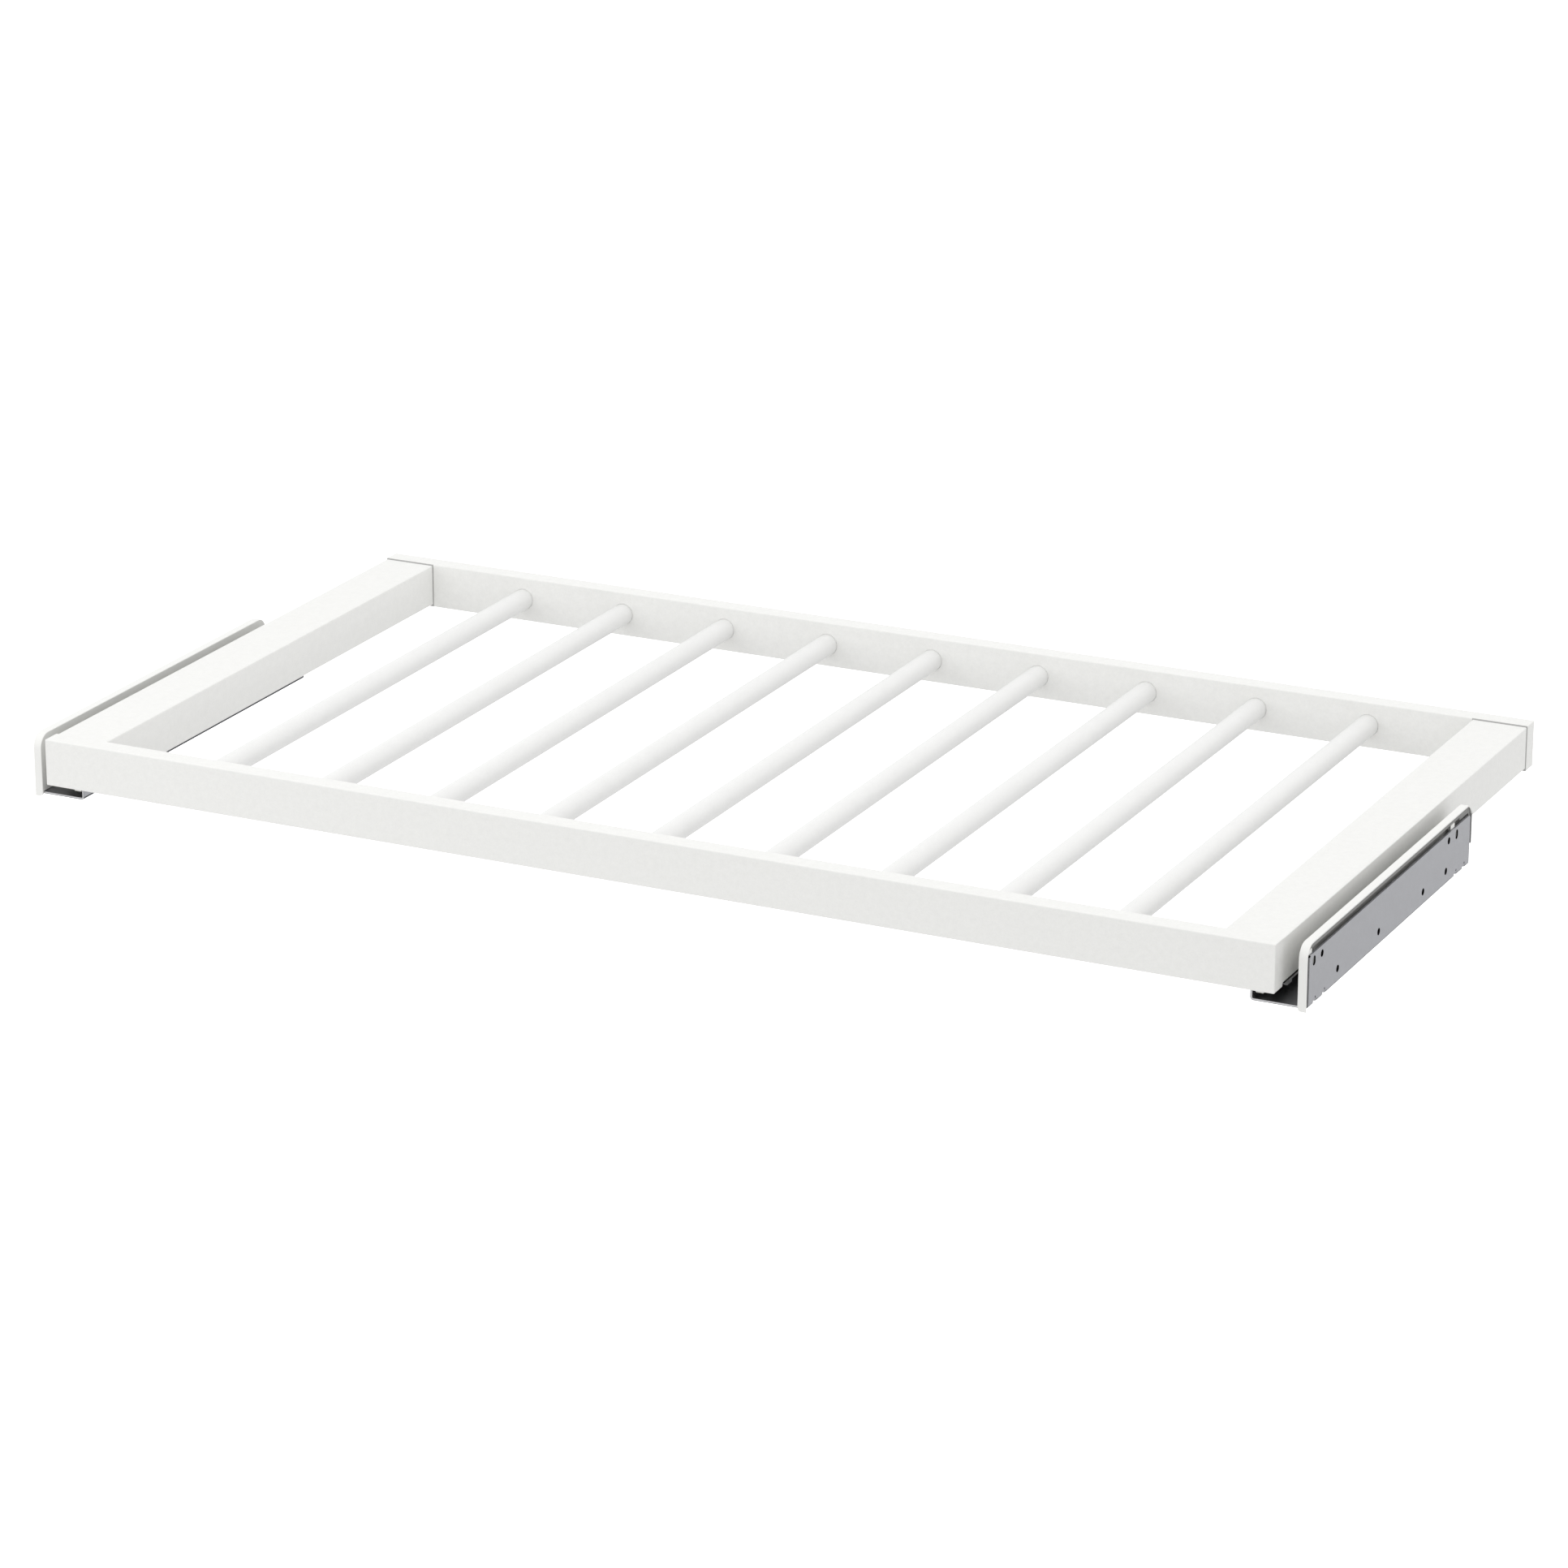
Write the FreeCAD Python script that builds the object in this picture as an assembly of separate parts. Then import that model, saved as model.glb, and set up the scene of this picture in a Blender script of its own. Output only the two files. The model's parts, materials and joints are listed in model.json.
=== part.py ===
"""Pull-out trouser rack for a 1000 mm wide wardrobe.

A flat white frame carries nine round rods that run front to back.  The frame rides on two
steel runners that are screwed to the wardrobe's side walls.

Frame of the model, in millimetres: +X right, +Y to the back of the wardrobe, +Z up.  The
origin is midway between the walls, midway along the frame's depth, and level with the lowest
edge of the runner covers.  The rack is drawn pushed in.  Pairs such as (low, high) are ranges.
"""
import FreeCAD, Part
import math
import os

# ---------------------------------------------------------------- the frame
wall_gap = 964.0            # clear width between the wardrobe's side walls

frame_width = 928.0
frame_depth = 500.0
frame_base = 14.0           # height of the frame's underside above the covers' lowest edge
end_rail_height = 34.0
end_rail_thick = 15.0
side_rail_width = 40.5
side_rail_drop = 0.8        # the side rails' top lies this far below the end rails' top
side_rail_lift = 2.0        # and their underside this far above the end rails' underside
side_rail_setback = 0.5     # and their outer face this far inside the end rails' ends
rail_edge_radius = 0.8

rod_count = 9
rod_pitch = 86.0
rod_dia = 16.0
rod_wall = 1.0
rod_seat_depth = 8.0        # how far a rod's end enters an end rail
rod_seat_clearance = 0.1

dowel_x = 452.0
dowel_dia = 8.0
dowel_length = 30.0
dowel_in_end_rail = 10.0
dowel_chamfer = 0.8
fastener_clearance = 0.1

cam_x = 434.0
cam_dia = 15.0
cam_height = 12.5
cam_setback = 24.0          # from the joint to the cam's centre
cam_bolt_z = 24.0
bolt_bore_radius = (3.0, 4.0)       # in the end rail and in the side rail
bolt_bore_depth = 11.0
bolt_thread_radius = 2.9
bolt_collar_radius = 3.8
bolt_shank_radius = 2.5
bolt_neck_radius = 1.7
bolt_head_radius = 3.3

# ---------------------------------------------------------------- runner, fixed half
member_thick = 1.4          # sheet of the wall members
member_y = (-236.0, 70.0)
member_base = 1.7           # underside of the channel's floor
member_bend = 2.2           # outer radius of the sheet's bends
plate_y = (-235.0, 67.2)
plate_top = 38.0
plate_corner_radius = 3.0
channel_lip_x = 442.2       # the lip's face towards the rods
channel_lip_top = 13.0
lip_return_edge = 451.5     # where the lip's inward return ends

hole_radius = 2.5
upper_hole_z = 32.6
upper_hole_y = (-212.8, 24.9)
lower_hole_z = 11.9
lower_hole_y = (-183.5, -108.1, -23.8, 20.8)
peg_slot_y = (-226.9, 40.3)
peg_slot_z = 32.4
peg_slot_size = (4.8, 6.8)  # along Y and Z, with round ends
notch_y = (-223.0, -206.6, 41.5, 57.8)
notch_length = 7.2
notch_depth = 2.2           # from the plate's inner face, so that it opens the bend
notch_top = 4.6
punch_mark_z = 6.1
punch_mark_radius = 0.8

cover_x = (475.4, 481.5)
cover_y = (-238.0, 72.0)
cover_top = 45.5
cover_corner_radius = 10.0
cover_edge_radius = 0.7     # round the outline of the face towards the rods
cover_wall = 1.6
cover_front_wall = 1.8
cover_back_wall = 4.0
cover_top_wall = 4.5
cover_lip = 0.9             # thin lip round the top and the ends, beyond the walls' recessed edge
cover_ledge_x = 480.3       # the walls' recessed edge, inside that lip
cover_skirt_base = 3.7      # the long wall stops just over the channel's floor
cover_back_foot = 16.0      # the back wall ends here, while the front wall runs down to 0
toe_radius = 3.4            # the front wall's foot is rounded towards the rods
toe_shift = 0.15            # and the arc meets its faces at a slight angle
clip_y = ((-236.4, -229.0), (30.5, 38.0))
clip_reach = 1.0            # the clips over the plate end this far short of the wall
boss_y = (50.0, 69.0)
boss_lift = 1.1             # gap between the plate's top edge and the boss above it
peg_size = (3.4, 5.4)       # along Y and Z, with round ends
peg_slit = 0.5              # parts each peg into two prongs
peg_short = 0.8             # the pegs end this far short of the wall

# ---------------------------------------------------------------- runner, moving half
travel = 225.0              # how far the frame pulls out

slide_thick = 1.2           # sheet of the drawer members
slide_y = (-231.0, 68.0)
slide_web_z = 14.8          # underside of the web that the rollers carry
slide_outer_x = 463.0
slide_leg_x = 453.5
slide_foot_x = 446.0
slide_foot_z = 8.4
slide_flange_z = 12.9
slide_bend = (0.6, 1.8)     # inner and outer radius
ear_base = 11.1             # the flange's front end reaches down to here
ear_length = 15.0
ear_nose = (6.8, 14.4)      # its front corner is cut off at a slant: length, and height of the slant's top
tongue_back = 108.0
tongue_overlap = 12.0
tongue_inset = 3.0          # from the flange's outer face, and also its corners' radius

screw_places = ((458.2, -205.0), (458.2, -145.0), (456.0, 90.0))
screw_hole_radius = 1.6
screw_head_radius = 2.8
screw_head_height = 1.9
screw_head_chamfer = 0.6
screw_shank_radius = 1.45
screw_length = 13.4
screw_point_length = 2.4
screw_recess = (3.0, 0.6, 1.0)      # the cross: its length, width and depth
pilot_depth = 12.5

roller_count = 3
roller_pitch = 28.0
roller_radius = 5.5
roller_width = 4.2
roller_chamfer = 0.5
roller_x = 458.3
roller_z = 8.95
roller_room = 0.9           # between a roller and the cage's cross bars
trunnion_radius = 1.3
trunnion_clearance = 0.08
trunnion_short = 0.2        # a trunnion ends this far inside the cage's outer face
cage_x = (455.1, 461.5)
cage_y = (-121.5, -42.5)
cage_z = (5.2, 12.7)
cage_wall = 0.9
cage_corner_radius = 2.0

guide_x = (445.4, 450.8)
guide_top = 11.3
guide_corner_radius = 1.0
front_guide_y = (-234.8, -216.0)
front_guide_base = 6.8
rear_guide_y = (46.0, 67.8)
rear_guide_base = 4.4

stop_tab_x = (446.0, 452.0)
stop_tab_gap = 0.6          # between a stop tab and the rear guide at either end of the travel
stop_tab_window = 7.0       # length of floor that each tab is bent up from
front_tab_top = 7.9         # the drawer member's foot passes just over it
rear_tab_top = 11.0

# ---------------------------------------------------------------- worked-out values
wall_x = wall_gap / 2
plate_inner_x = wall_x - member_thick
inner_y = frame_depth / 2 - end_rail_thick
rod_z = frame_base + end_rail_height / 2
side_rail_z = (frame_base + side_rail_lift, frame_base + end_rail_height - side_rail_drop)
side_rail_outer_x = frame_width / 2 - side_rail_setback
side_rail_x = (side_rail_outer_x - side_rail_width, side_rail_outer_x)
channel_floor = member_base + member_thick
rod_places = [rod_pitch * (i - (rod_count - 1) / 2) for i in range(rod_count)]
roller_places = [sum(cage_y) / 2 + roller_pitch * (i - (roller_count - 1) / 2) for i in range(roller_count)]

through = 1.0               # how far a cutting tool runs past the piece that it cuts

V = FreeCAD.Vector
ALONG_X, ALONG_Y, ALONG_Z = V(1, 0, 0), V(0, 1, 0), V(0, 0, 1)


# ---------------------------------------------------------------- helpers
def box(x, y, z):
    """A block between two corners, each argument a (low, high) pair."""
    return Part.makeBox(x[1] - x[0], y[1] - y[0], z[1] - z[0], V(x[0], y[0], z[0]))


def around(middle, size):
    """The range of the given size about a middle value."""
    return (middle - size / 2, middle + size / 2)


def grown(span, amount=through):
    return (span[0] - amount, span[1] + amount)


def cylinder(direction, radius, start, length):
    return Part.makeCylinder(radius, length, V(*start), direction)


def turned(direction, start, profile):
    """A turned piece: profile is (distance along direction, radius) from the start point on."""
    across = ALONG_Z if direction.z == 0 else ALONG_X
    points = [V(*start) + direction * along + across * radius for along, radius in profile]
    half_section = Part.Face(Part.makePolygon(points + points[:1]))
    return half_section.revolve(V(*start), direction, 360)


def outline(corners):
    """A closed wire in the XY plane through corners (u, v, r), rounded where r is not 0."""
    count = len(corners)
    points = [V(u, v, 0) for u, v, _ in corners]
    entries, exits, arcs = [], [], []
    for i, (_, _, radius) in enumerate(corners):
        here = points[i]
        to_last = (points[i - 1] - here).normalize()
        to_next = (points[(i + 1) % count] - here).normalize()
        if radius == 0:
            entries.append(here)
            exits.append(here)
            arcs.append(None)
            continue
        half_angle = to_last.getAngle(to_next) / 2
        reach = radius / math.tan(half_angle)
        inwards = (to_last + to_next).normalize()
        middle = here + inwards * (radius / math.sin(half_angle) - radius)
        entries.append(here + to_last * reach)
        exits.append(here + to_next * reach)
        arcs.append(Part.Arc(entries[-1], middle, exits[-1]).toShape())
    edges = []
    for i in range(count):
        if arcs[i]:
            edges.append(arcs[i])
        start, end = exits[i], entries[(i + 1) % count]
        if start.distanceToPoint(end) > 1e-6:
            edges.append(Part.LineSegment(start, end).toShape())
    return Part.Wire(edges)


def extrude_along_y(corners, y):
    """A section in (x, z) run from y[0] to y[1]."""
    face = Part.Face(outline(corners))
    face.rotate(V(0, 0, 0), ALONG_X, 90)
    face.translate(V(0, y[0], 0))
    return face.extrude(V(0, y[1] - y[0], 0))


def extrude_along_x(corners, x):
    """A side view in (y, z) run from x[0] to x[1]."""
    face = Part.Face(outline(corners))
    face.rotate(V(0, 0, 0), ALONG_X, 90)
    face.rotate(V(0, 0, 0), ALONG_Z, 90)
    face.translate(V(x[0], 0, 0))
    return face.extrude(V(x[1] - x[0], 0, 0))


def cut_all(shape, tools):
    return shape.cut(Part.makeCompound(tools))


def fuse_all(shape, extras):
    for extra in extras:
        shape = shape.fuse(extra)
    return shape.removeSplitter()


def upright_slot(y, z, size, x):
    """A block along X with round upper and lower ends, about the middle (y, z)."""
    radius = size[0] / 2
    low_y, high_y = around(y, size[0])
    low_z, high_z = around(z, size[1])
    return extrude_along_x([(low_y, low_z, radius), (high_y, low_z, radius),
                            (high_y, high_z, radius), (low_y, high_z, radius)], x)


def eased(block):
    """A block with every edge rounded, as a foil-wrapped rail has."""
    return block.makeFillet(rail_edge_radius, block.Edges)


def for_side(shape, side):
    """Pieces are drawn for the right-hand side, and the left-hand ones mirror them."""
    return shape if side == "right" else shape.mirror(V(0, 0, 0), ALONG_X)


def save(name, shape):
    shape.exportStep("parts/" + name + ".step")


# ---------------------------------------------------------------- frame
def end_rail(end):
    """The back rail (end = 1) or the front rail (-1), with blind bores in its inner face."""
    face_y = end * inner_y
    into = ALONG_Y * end
    half_width = frame_width / 2
    y = sorted((face_y, face_y + end * end_rail_thick))
    rail = eased(box((-half_width, half_width), y, (frame_base, frame_base + end_rail_height)))
    seat_radius = rod_dia / 2 + rod_seat_clearance
    bores = [cylinder(into, seat_radius, (x, face_y, rod_z), rod_seat_depth) for x in rod_places]
    for side in (-1, 1):
        bores.append(cylinder(into, dowel_dia / 2, (side * dowel_x, face_y, rod_z), dowel_in_end_rail))
        bores.append(cylinder(into, bolt_bore_radius[0], (side * cam_x, face_y, cam_bolt_z), bolt_bore_depth))
    return cut_all(rail, bores)


def side_rail():
    """A side rail with its dowel bores, cam pockets and pilot holes for the runner screws."""
    rail = eased(box(side_rail_x, (-inner_y, inner_y), side_rail_z))
    below = side_rail_z[0] - through
    cuts = []
    for end in (-1, 1):
        face_y = end * inner_y
        into = ALONG_Y * -end
        cuts.append(cylinder(into, dowel_dia / 2, (dowel_x, face_y, rod_z), dowel_length - dowel_in_end_rail))
        cuts.append(cylinder(into, bolt_bore_radius[1], (cam_x, face_y, cam_bolt_z), cam_setback))
        cuts.append(cylinder(ALONG_Z, cam_dia / 2, (cam_x, face_y - end * cam_setback, below),
                             cam_height + through))
    for x, y in screw_places:
        cuts.append(cylinder(ALONG_Z, screw_hole_radius, (x, y, below), pilot_depth + through))
    return cut_all(rail, cuts)


def hanging_rod(x):
    """A steel tube between the end rails, its ends in their blind seats."""
    start = (x, -inner_y - rod_seat_depth, rod_z)
    length = 2 * (inner_y + rod_seat_depth)
    tube = cylinder(ALONG_Y, rod_dia / 2, start, length)
    return tube.cut(cylinder(ALONG_Y, rod_dia / 2 - rod_wall, start, length))


def frame_corners():
    """The side and the end, each -1 or 1, of the frame's four joints."""
    return [(side, end) for side in (-1, 1) for end in (-1, 1)]


def dowels():
    """Four beech dowels, one beside each cam joint."""
    radius = dowel_dia / 2 - fastener_clearance
    profile = [(0, 0), (0, radius - dowel_chamfer), (dowel_chamfer, radius),
               (dowel_length - dowel_chamfer, radius), (dowel_length, radius - dowel_chamfer),
               (dowel_length, 0)]
    pins = [turned(ALONG_Y * -end, (side * dowel_x, end * (inner_y + dowel_in_end_rail), rod_z), profile)
            for side, end in frame_corners()]
    return Part.makeCompound(pins)


def cam_bolts():
    """Four bolts: a thread in the end rail, a collar, a shank, a neck and a round head in the cam."""
    thread_end, collar_end = 10.8, 12.0
    neck_start, head_start, head_end = 30.8, 33.3, 36.8
    profile = [(0, 0), (0, bolt_thread_radius), (thread_end, bolt_thread_radius),
               (thread_end, bolt_collar_radius), (collar_end, bolt_collar_radius),
               (collar_end, bolt_shank_radius), (neck_start - 1.5, bolt_shank_radius),
               (neck_start, bolt_neck_radius), (head_start, bolt_neck_radius),
               (head_start, bolt_head_radius), (head_end, bolt_head_radius), (head_end, 0)]
    bolts = [turned(ALONG_Y * -end, (side * cam_x, end * (inner_y + thread_end), cam_bolt_z), profile)
             for side, end in frame_corners()]
    return Part.makeCompound(bolts)


def cam_nuts():
    """Four round cams under the side rails, each open to its bolt and slotted for a screwdriver."""
    base = side_rail_z[0] + fastener_clearance * 2
    mouth_radius, room_radius, room_length = 2.8, 3.8, 6.5
    slot_length, slot_width, slot_depth = 7.0, 1.2, 2.5
    slot_z = (base - through, base + slot_depth)
    nuts = []
    for side, end in frame_corners():
        x, y = side * cam_x, end * (inner_y - cam_setback)
        body = cylinder(ALONG_Z, cam_dia / 2 - fastener_clearance, (x, y, base), cam_height - 0.4)
        mouth = cylinder(ALONG_Y * end, mouth_radius, (x, y, cam_bolt_z), cam_dia)
        head_room = cylinder(ALONG_Y * end, room_radius, (x, y - end * 3.0, cam_bolt_z), room_length)
        cross = [box(around(x, slot_length), around(y, slot_width), slot_z),
                 box(around(x, slot_width), around(y, slot_length), slot_z)]
        nuts.append(cut_all(body, [mouth, head_room] + cross))
    return Part.makeCompound(nuts)


# ---------------------------------------------------------------- runner, fixed half
def wall_member_section():
    """The rolled sheet's section: upright plate, channel floor, and a lip with an inward return."""
    t = member_thick
    inner_lip_x = channel_lip_x + t
    inner_bend = member_bend - t
    return [(wall_x, plate_top, 0), (wall_x, member_base, member_bend),
            (channel_lip_x, member_base, member_bend), (channel_lip_x, channel_lip_top, member_bend),
            (lip_return_edge, channel_lip_top, 0), (lip_return_edge, channel_lip_top - t, 0),
            (inner_lip_x, channel_lip_top - t, inner_bend), (inner_lip_x, channel_floor, inner_bend),
            (plate_inner_x, channel_floor, inner_bend), (plate_inner_x, plate_top, 0)]


def plate_cuts():
    """Screw holes, peg slots, and the notches with punch marks along the plate's foot."""
    x = grown((plate_inner_x, wall_x))
    places = [(y, upper_hole_z, hole_radius) for y in upper_hole_y]
    places += [(y, lower_hole_z, hole_radius) for y in lower_hole_y]
    places += [(y, punch_mark_z, punch_mark_radius) for y in notch_y]
    cuts = [cylinder(ALONG_X, radius, (x[0], y, z), x[1] - x[0]) for y, z, radius in places]
    for y in peg_slot_y:
        cuts.append(upright_slot(y, peg_slot_z, peg_slot_size, x))
    for y in notch_y:
        cuts.append(box((plate_inner_x - notch_depth, x[1]), around(y, notch_length),
                        (member_base - through, notch_top)))
    return cuts


def wall_member():
    """The runner's fixed half, screwed to the wall, with two stop tabs bent up from its floor."""
    member = extrude_along_y(wall_member_section(), member_y)
    plate_x = (plate_inner_x - member_bend - through, wall_x + through)
    plate_z = (member_base - through, plate_top + through)
    member = cut_all(member, [box(plate_x, (member_y[0] - through, plate_y[0]), plate_z),
                              box(plate_x, (plate_y[1], member_y[1] + through), plate_z)])
    top_corners = [e for e in member.Edges if abs(e.CenterOfMass.z - plate_top) < 0.01
                   and min(abs(e.CenterOfMass.y - y) for y in plate_y) < 0.01]
    member = member.makeFillet(plate_corner_radius, top_corners)

    cuts = plate_cuts()
    tabs = []
    window_z = (member_base - through, channel_floor + through)
    front_tab_y = rear_guide_y[0] - travel - stop_tab_gap - member_thick
    rear_tab_y = rear_guide_y[1] + stop_tab_gap
    for y, top in ((front_tab_y, front_tab_top), (rear_tab_y, rear_tab_top)):
        tabs.append(box(stop_tab_x, (y, y + member_thick), (member_base, top)))
        cuts.append(box(stop_tab_x, (y - stop_tab_window, y), window_z))
    return fuse_all(cut_all(member, cuts), tabs)


def cover_side_view(front_inset, back_inset, top_inset, base):
    """The cover seen from the side, (y, z), shrunk by the insets and cut off below at base."""
    radius = cover_corner_radius - top_inset
    y = (cover_y[0] + front_inset, cover_y[1] - back_inset)
    top = cover_top - top_inset
    return [(y[0], base, 0), (y[1], base, 0), (y[1], top, radius), (y[0], top, radius)]


def cover_shell():
    """The white shell: a long wall, and walls round its top and ends that thin to a lip."""
    outside = extrude_along_x(cover_side_view(0, 0, 0, 0), cover_x)
    face_outline = [e for e in outside.Edges
                    if abs(e.BoundBox.XMin - cover_x[0]) < 0.01 and e.BoundBox.XLength < 0.01
                    and e.BoundBox.ZMax > 0.01]
    outside = outside.makeFillet(cover_edge_radius, face_outline)
    end_x = cover_x[1] + through
    hollow = extrude_along_x(cover_side_view(cover_front_wall, cover_back_wall, cover_top_wall, -through),
                             (cover_x[0] + cover_wall, end_x))
    rebate = extrude_along_x(cover_side_view(cover_lip, cover_lip, cover_lip, -through),
                             (cover_ledge_x, end_x))
    return cut_all(outside, [hollow, rebate])


def peg(y, root_x):
    """A round-ended peg that passes through a slot of the plate, slit into two prongs."""
    body = upright_slot(y, peg_slot_z, peg_size, (root_x, wall_x - peg_short))
    slit_x = (cover_x[0] + cover_wall, wall_x)
    return body.cut(box(slit_x, around(y, peg_slit), around(peg_slot_z, peg_size[1] + 2 * through)))


def cover():
    """The shell with its feet cut to length, two clips, a boss and two pronged pegs."""
    all_x = grown(cover_x)
    wall_inside_x = cover_x[0] + cover_wall
    inside_y = (cover_y[0] + cover_front_wall, cover_y[1] - cover_back_wall)
    under_wall = box((all_x[0], wall_inside_x), (inside_y[0], cover_y[1] + through),
                     (-through, cover_skirt_base))
    under_back = box(all_x, (inside_y[1] - through, cover_y[1] + through), (-through, cover_back_foot))
    toe_y = (cover_y[0] - through, inside_y[0] + through)
    toe_centre = toe_radius - toe_shift
    toe_cut = box((all_x[0], cover_x[0] + toe_centre), toe_y, (-through, toe_centre)).cut(
        cylinder(ALONG_Y, toe_radius, (cover_x[0] + toe_centre, toe_y[0], toe_centre), toe_y[1] - toe_y[0]))
    shell = cut_all(cover_shell(), [under_wall, under_back, toe_cut])

    root_x = wall_inside_x - 0.4
    root_z = cover_top - cover_top_wall + 0.4
    extras = [box((root_x, cover_ledge_x), boss_y, (plate_top + boss_lift, root_z))]
    for y in clip_y:
        extras.append(box((root_x, wall_x - clip_reach), y, (plate_top + 0.4, root_z)))
    extras += [peg(y, root_x) for y in peg_slot_y]
    envelope = extrude_along_x(cover_side_view(0, 0, 0, 0), (cover_x[0], wall_x))
    return fuse_all(shell, extras).common(envelope)


# ---------------------------------------------------------------- runner, moving half
def drawer_member_section():
    """The formed strip's section: a web over the rollers, an outer flange, and a leg with a foot."""
    t = slide_thick
    tight, wide = slide_bend
    web_top = slide_web_z + t
    leg_inner_x = slide_leg_x + t
    flange_x = slide_outer_x - t
    foot_top = slide_foot_z + t
    return [(slide_foot_x, slide_foot_z, 0), (leg_inner_x, slide_foot_z, wide),
            (leg_inner_x, slide_web_z, tight), (flange_x, slide_web_z, tight),
            (flange_x, slide_flange_z, 0), (slide_outer_x, slide_flange_z, 0),
            (slide_outer_x, web_top, wide), (slide_leg_x, web_top, wide),
            (slide_leg_x, foot_top, tight), (slide_foot_x, foot_top, 0)]


def drawer_member():
    """A strip under a side rail.  Its foot runs under the lip's return, so that the pulled-out
    frame cannot tip.  An ear hangs from its front end, and a tongue carries the rear screw."""
    strip = extrude_along_y(drawer_member_section(), slide_y)
    front, root_z = slide_y[0], slide_flange_z + 0.9
    flange_x = (slide_outer_x - slide_thick, slide_outer_x)
    ear_side = [(front, ear_base, 0), (front + ear_length, ear_base, 0.8), (front + ear_length, root_z, 0),
                (front, root_z, 0)]
    ear = extrude_along_x(ear_side, flange_x)
    nose_length, nose_z = ear_nose
    nose_side = [(front - through, nose_z, 0), (front - through, ear_base - through, 0),
                 (front + nose_length, ear_base - through, 0), (front + nose_length, ear_base, 0),
                 (front, nose_z, 0)]
    nose = extrude_along_x(nose_side, grown(flange_x))
    tongue = box((slide_leg_x, slide_outer_x - tongue_inset), (slide_y[1] - tongue_overlap, tongue_back),
                 (slide_web_z, slide_web_z + slide_thick))
    corners = [e for e in tongue.Edges if abs(e.CenterOfMass.y - tongue_back) < 0.01
               and abs(e.CenterOfMass.z - slide_web_z - slide_thick / 2) < 0.01]
    tongue = tongue.makeFillet(tongue_inset, corners)
    holes = [cylinder(ALONG_Z, screw_hole_radius, (x, y, slide_web_z - through), slide_thick + 2 * through)
             for x, y in screw_places]
    return cut_all(fuse_all(strip, [ear, tongue]), holes + [nose])


def guide(y, base):
    """A nylon slipper that clips round the foot and runs under the lip's return."""
    r = guide_corner_radius
    side = [(y[0], base, r), (y[1], base, r), (y[1], guide_top, r), (y[0], guide_top, r)]
    block = extrude_along_x(side, guide_x)
    groove = box((slide_foot_x, guide_x[1] + through), grown(y), (slide_foot_z, slide_foot_z + slide_thick))
    return block.cut(groove)


def runner_screws():
    """Three pan-head screws that hold a drawer member up against its side rail."""
    height, shank_end = screw_head_height, screw_head_height + screw_length - screw_point_length
    profile = [(0, 0), (0, screw_head_radius - screw_head_chamfer), (screw_head_chamfer, screw_head_radius),
               (height, screw_head_radius), (height, screw_shank_radius), (shank_end, screw_shank_radius),
               (shank_end + screw_point_length, 0)]
    length, width, depth = screw_recess
    head_z = slide_web_z - height
    recess_z = (head_z - through, head_z + depth)
    screws = []
    for x, y in screw_places:
        screw = turned(ALONG_Z, (x, y, head_z), profile)
        recess = [box(around(x, length), around(y, width), recess_z),
                  box(around(x, width), around(y, length), recess_z)]
        screws.append(cut_all(screw, recess))
    return Part.makeCompound(screws)


def roller_cage():
    """A ladder of two thin walls and cross bars that keeps the rollers apart."""
    r = cage_corner_radius
    cage = extrude_along_x([(cage_y[0], cage_z[0], r), (cage_y[1], cage_z[0], r),
                            (cage_y[1], cage_z[1], r), (cage_y[0], cage_z[1], r)], cage_x)
    x = grown(cage_x)
    pocket = 2 * (roller_radius + roller_room)
    cuts = []
    for y in roller_places:
        cuts.append(box(grown(cage_x, -cage_wall), around(y, pocket), grown(cage_z)))
        cuts.append(cylinder(ALONG_X, trunnion_radius + trunnion_clearance, (x[0], y, roller_z), x[1] - x[0]))
    return cut_all(cage, cuts)


def roller(y):
    """A nylon roller with a trunnion at each end, its rims eased."""
    start, end = grown(cage_x, -trunnion_short)
    tread = around(roller_x - start, roller_width)
    rim, radius = roller_chamfer, roller_radius
    profile = [(0, 0), (0, trunnion_radius), (tread[0], trunnion_radius), (tread[0], radius - rim),
               (tread[0] + rim, radius), (tread[1] - rim, radius), (tread[1], radius - rim),
               (tread[1], trunnion_radius), (end - start, trunnion_radius), (end - start, 0)]
    return turned(ALONG_X, (start, y, roller_z), profile)


# ---------------------------------------------------------------- the pieces
def main():
    os.makedirs("parts", exist_ok=True)
    save("front_rail", end_rail(-1))
    save("back_rail", end_rail(1))
    for number, x in enumerate(rod_places, start=1):
        save("rod_%d" % number, hanging_rod(x))
    save("frame_dowels", dowels())
    save("cam_bolts", cam_bolts())
    save("cam_nuts", cam_nuts())
    for side in ("left", "right"):
        save("side_rail_" + side, for_side(side_rail(), side))
        save("wall_member_" + side, for_side(wall_member(), side))
        save("cover_" + side, for_side(cover(), side))
        save("drawer_member_" + side, for_side(drawer_member(), side))
        save("front_guide_" + side, for_side(guide(front_guide_y, front_guide_base), side))
        save("rear_guide_" + side, for_side(guide(rear_guide_y, rear_guide_base), side))
        save("runner_screws_" + side, for_side(runner_screws(), side))
        save("roller_cage_" + side, for_side(roller_cage(), side))
        for number, y in enumerate(roller_places, start=1):
            save("roller_%s_%d" % (side, number), for_side(roller(y), side))


main()
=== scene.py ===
# %% [markdown]
# # A pull-out trouser rack for a wardrobe
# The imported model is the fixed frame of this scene. Its pieces are already in place, in metres,
# with X to the right, Y to the back of the wardrobe and Z up. This file gives every piece a
# finish, and models by hand the pieces whose small forms the plain solids lack.

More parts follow.
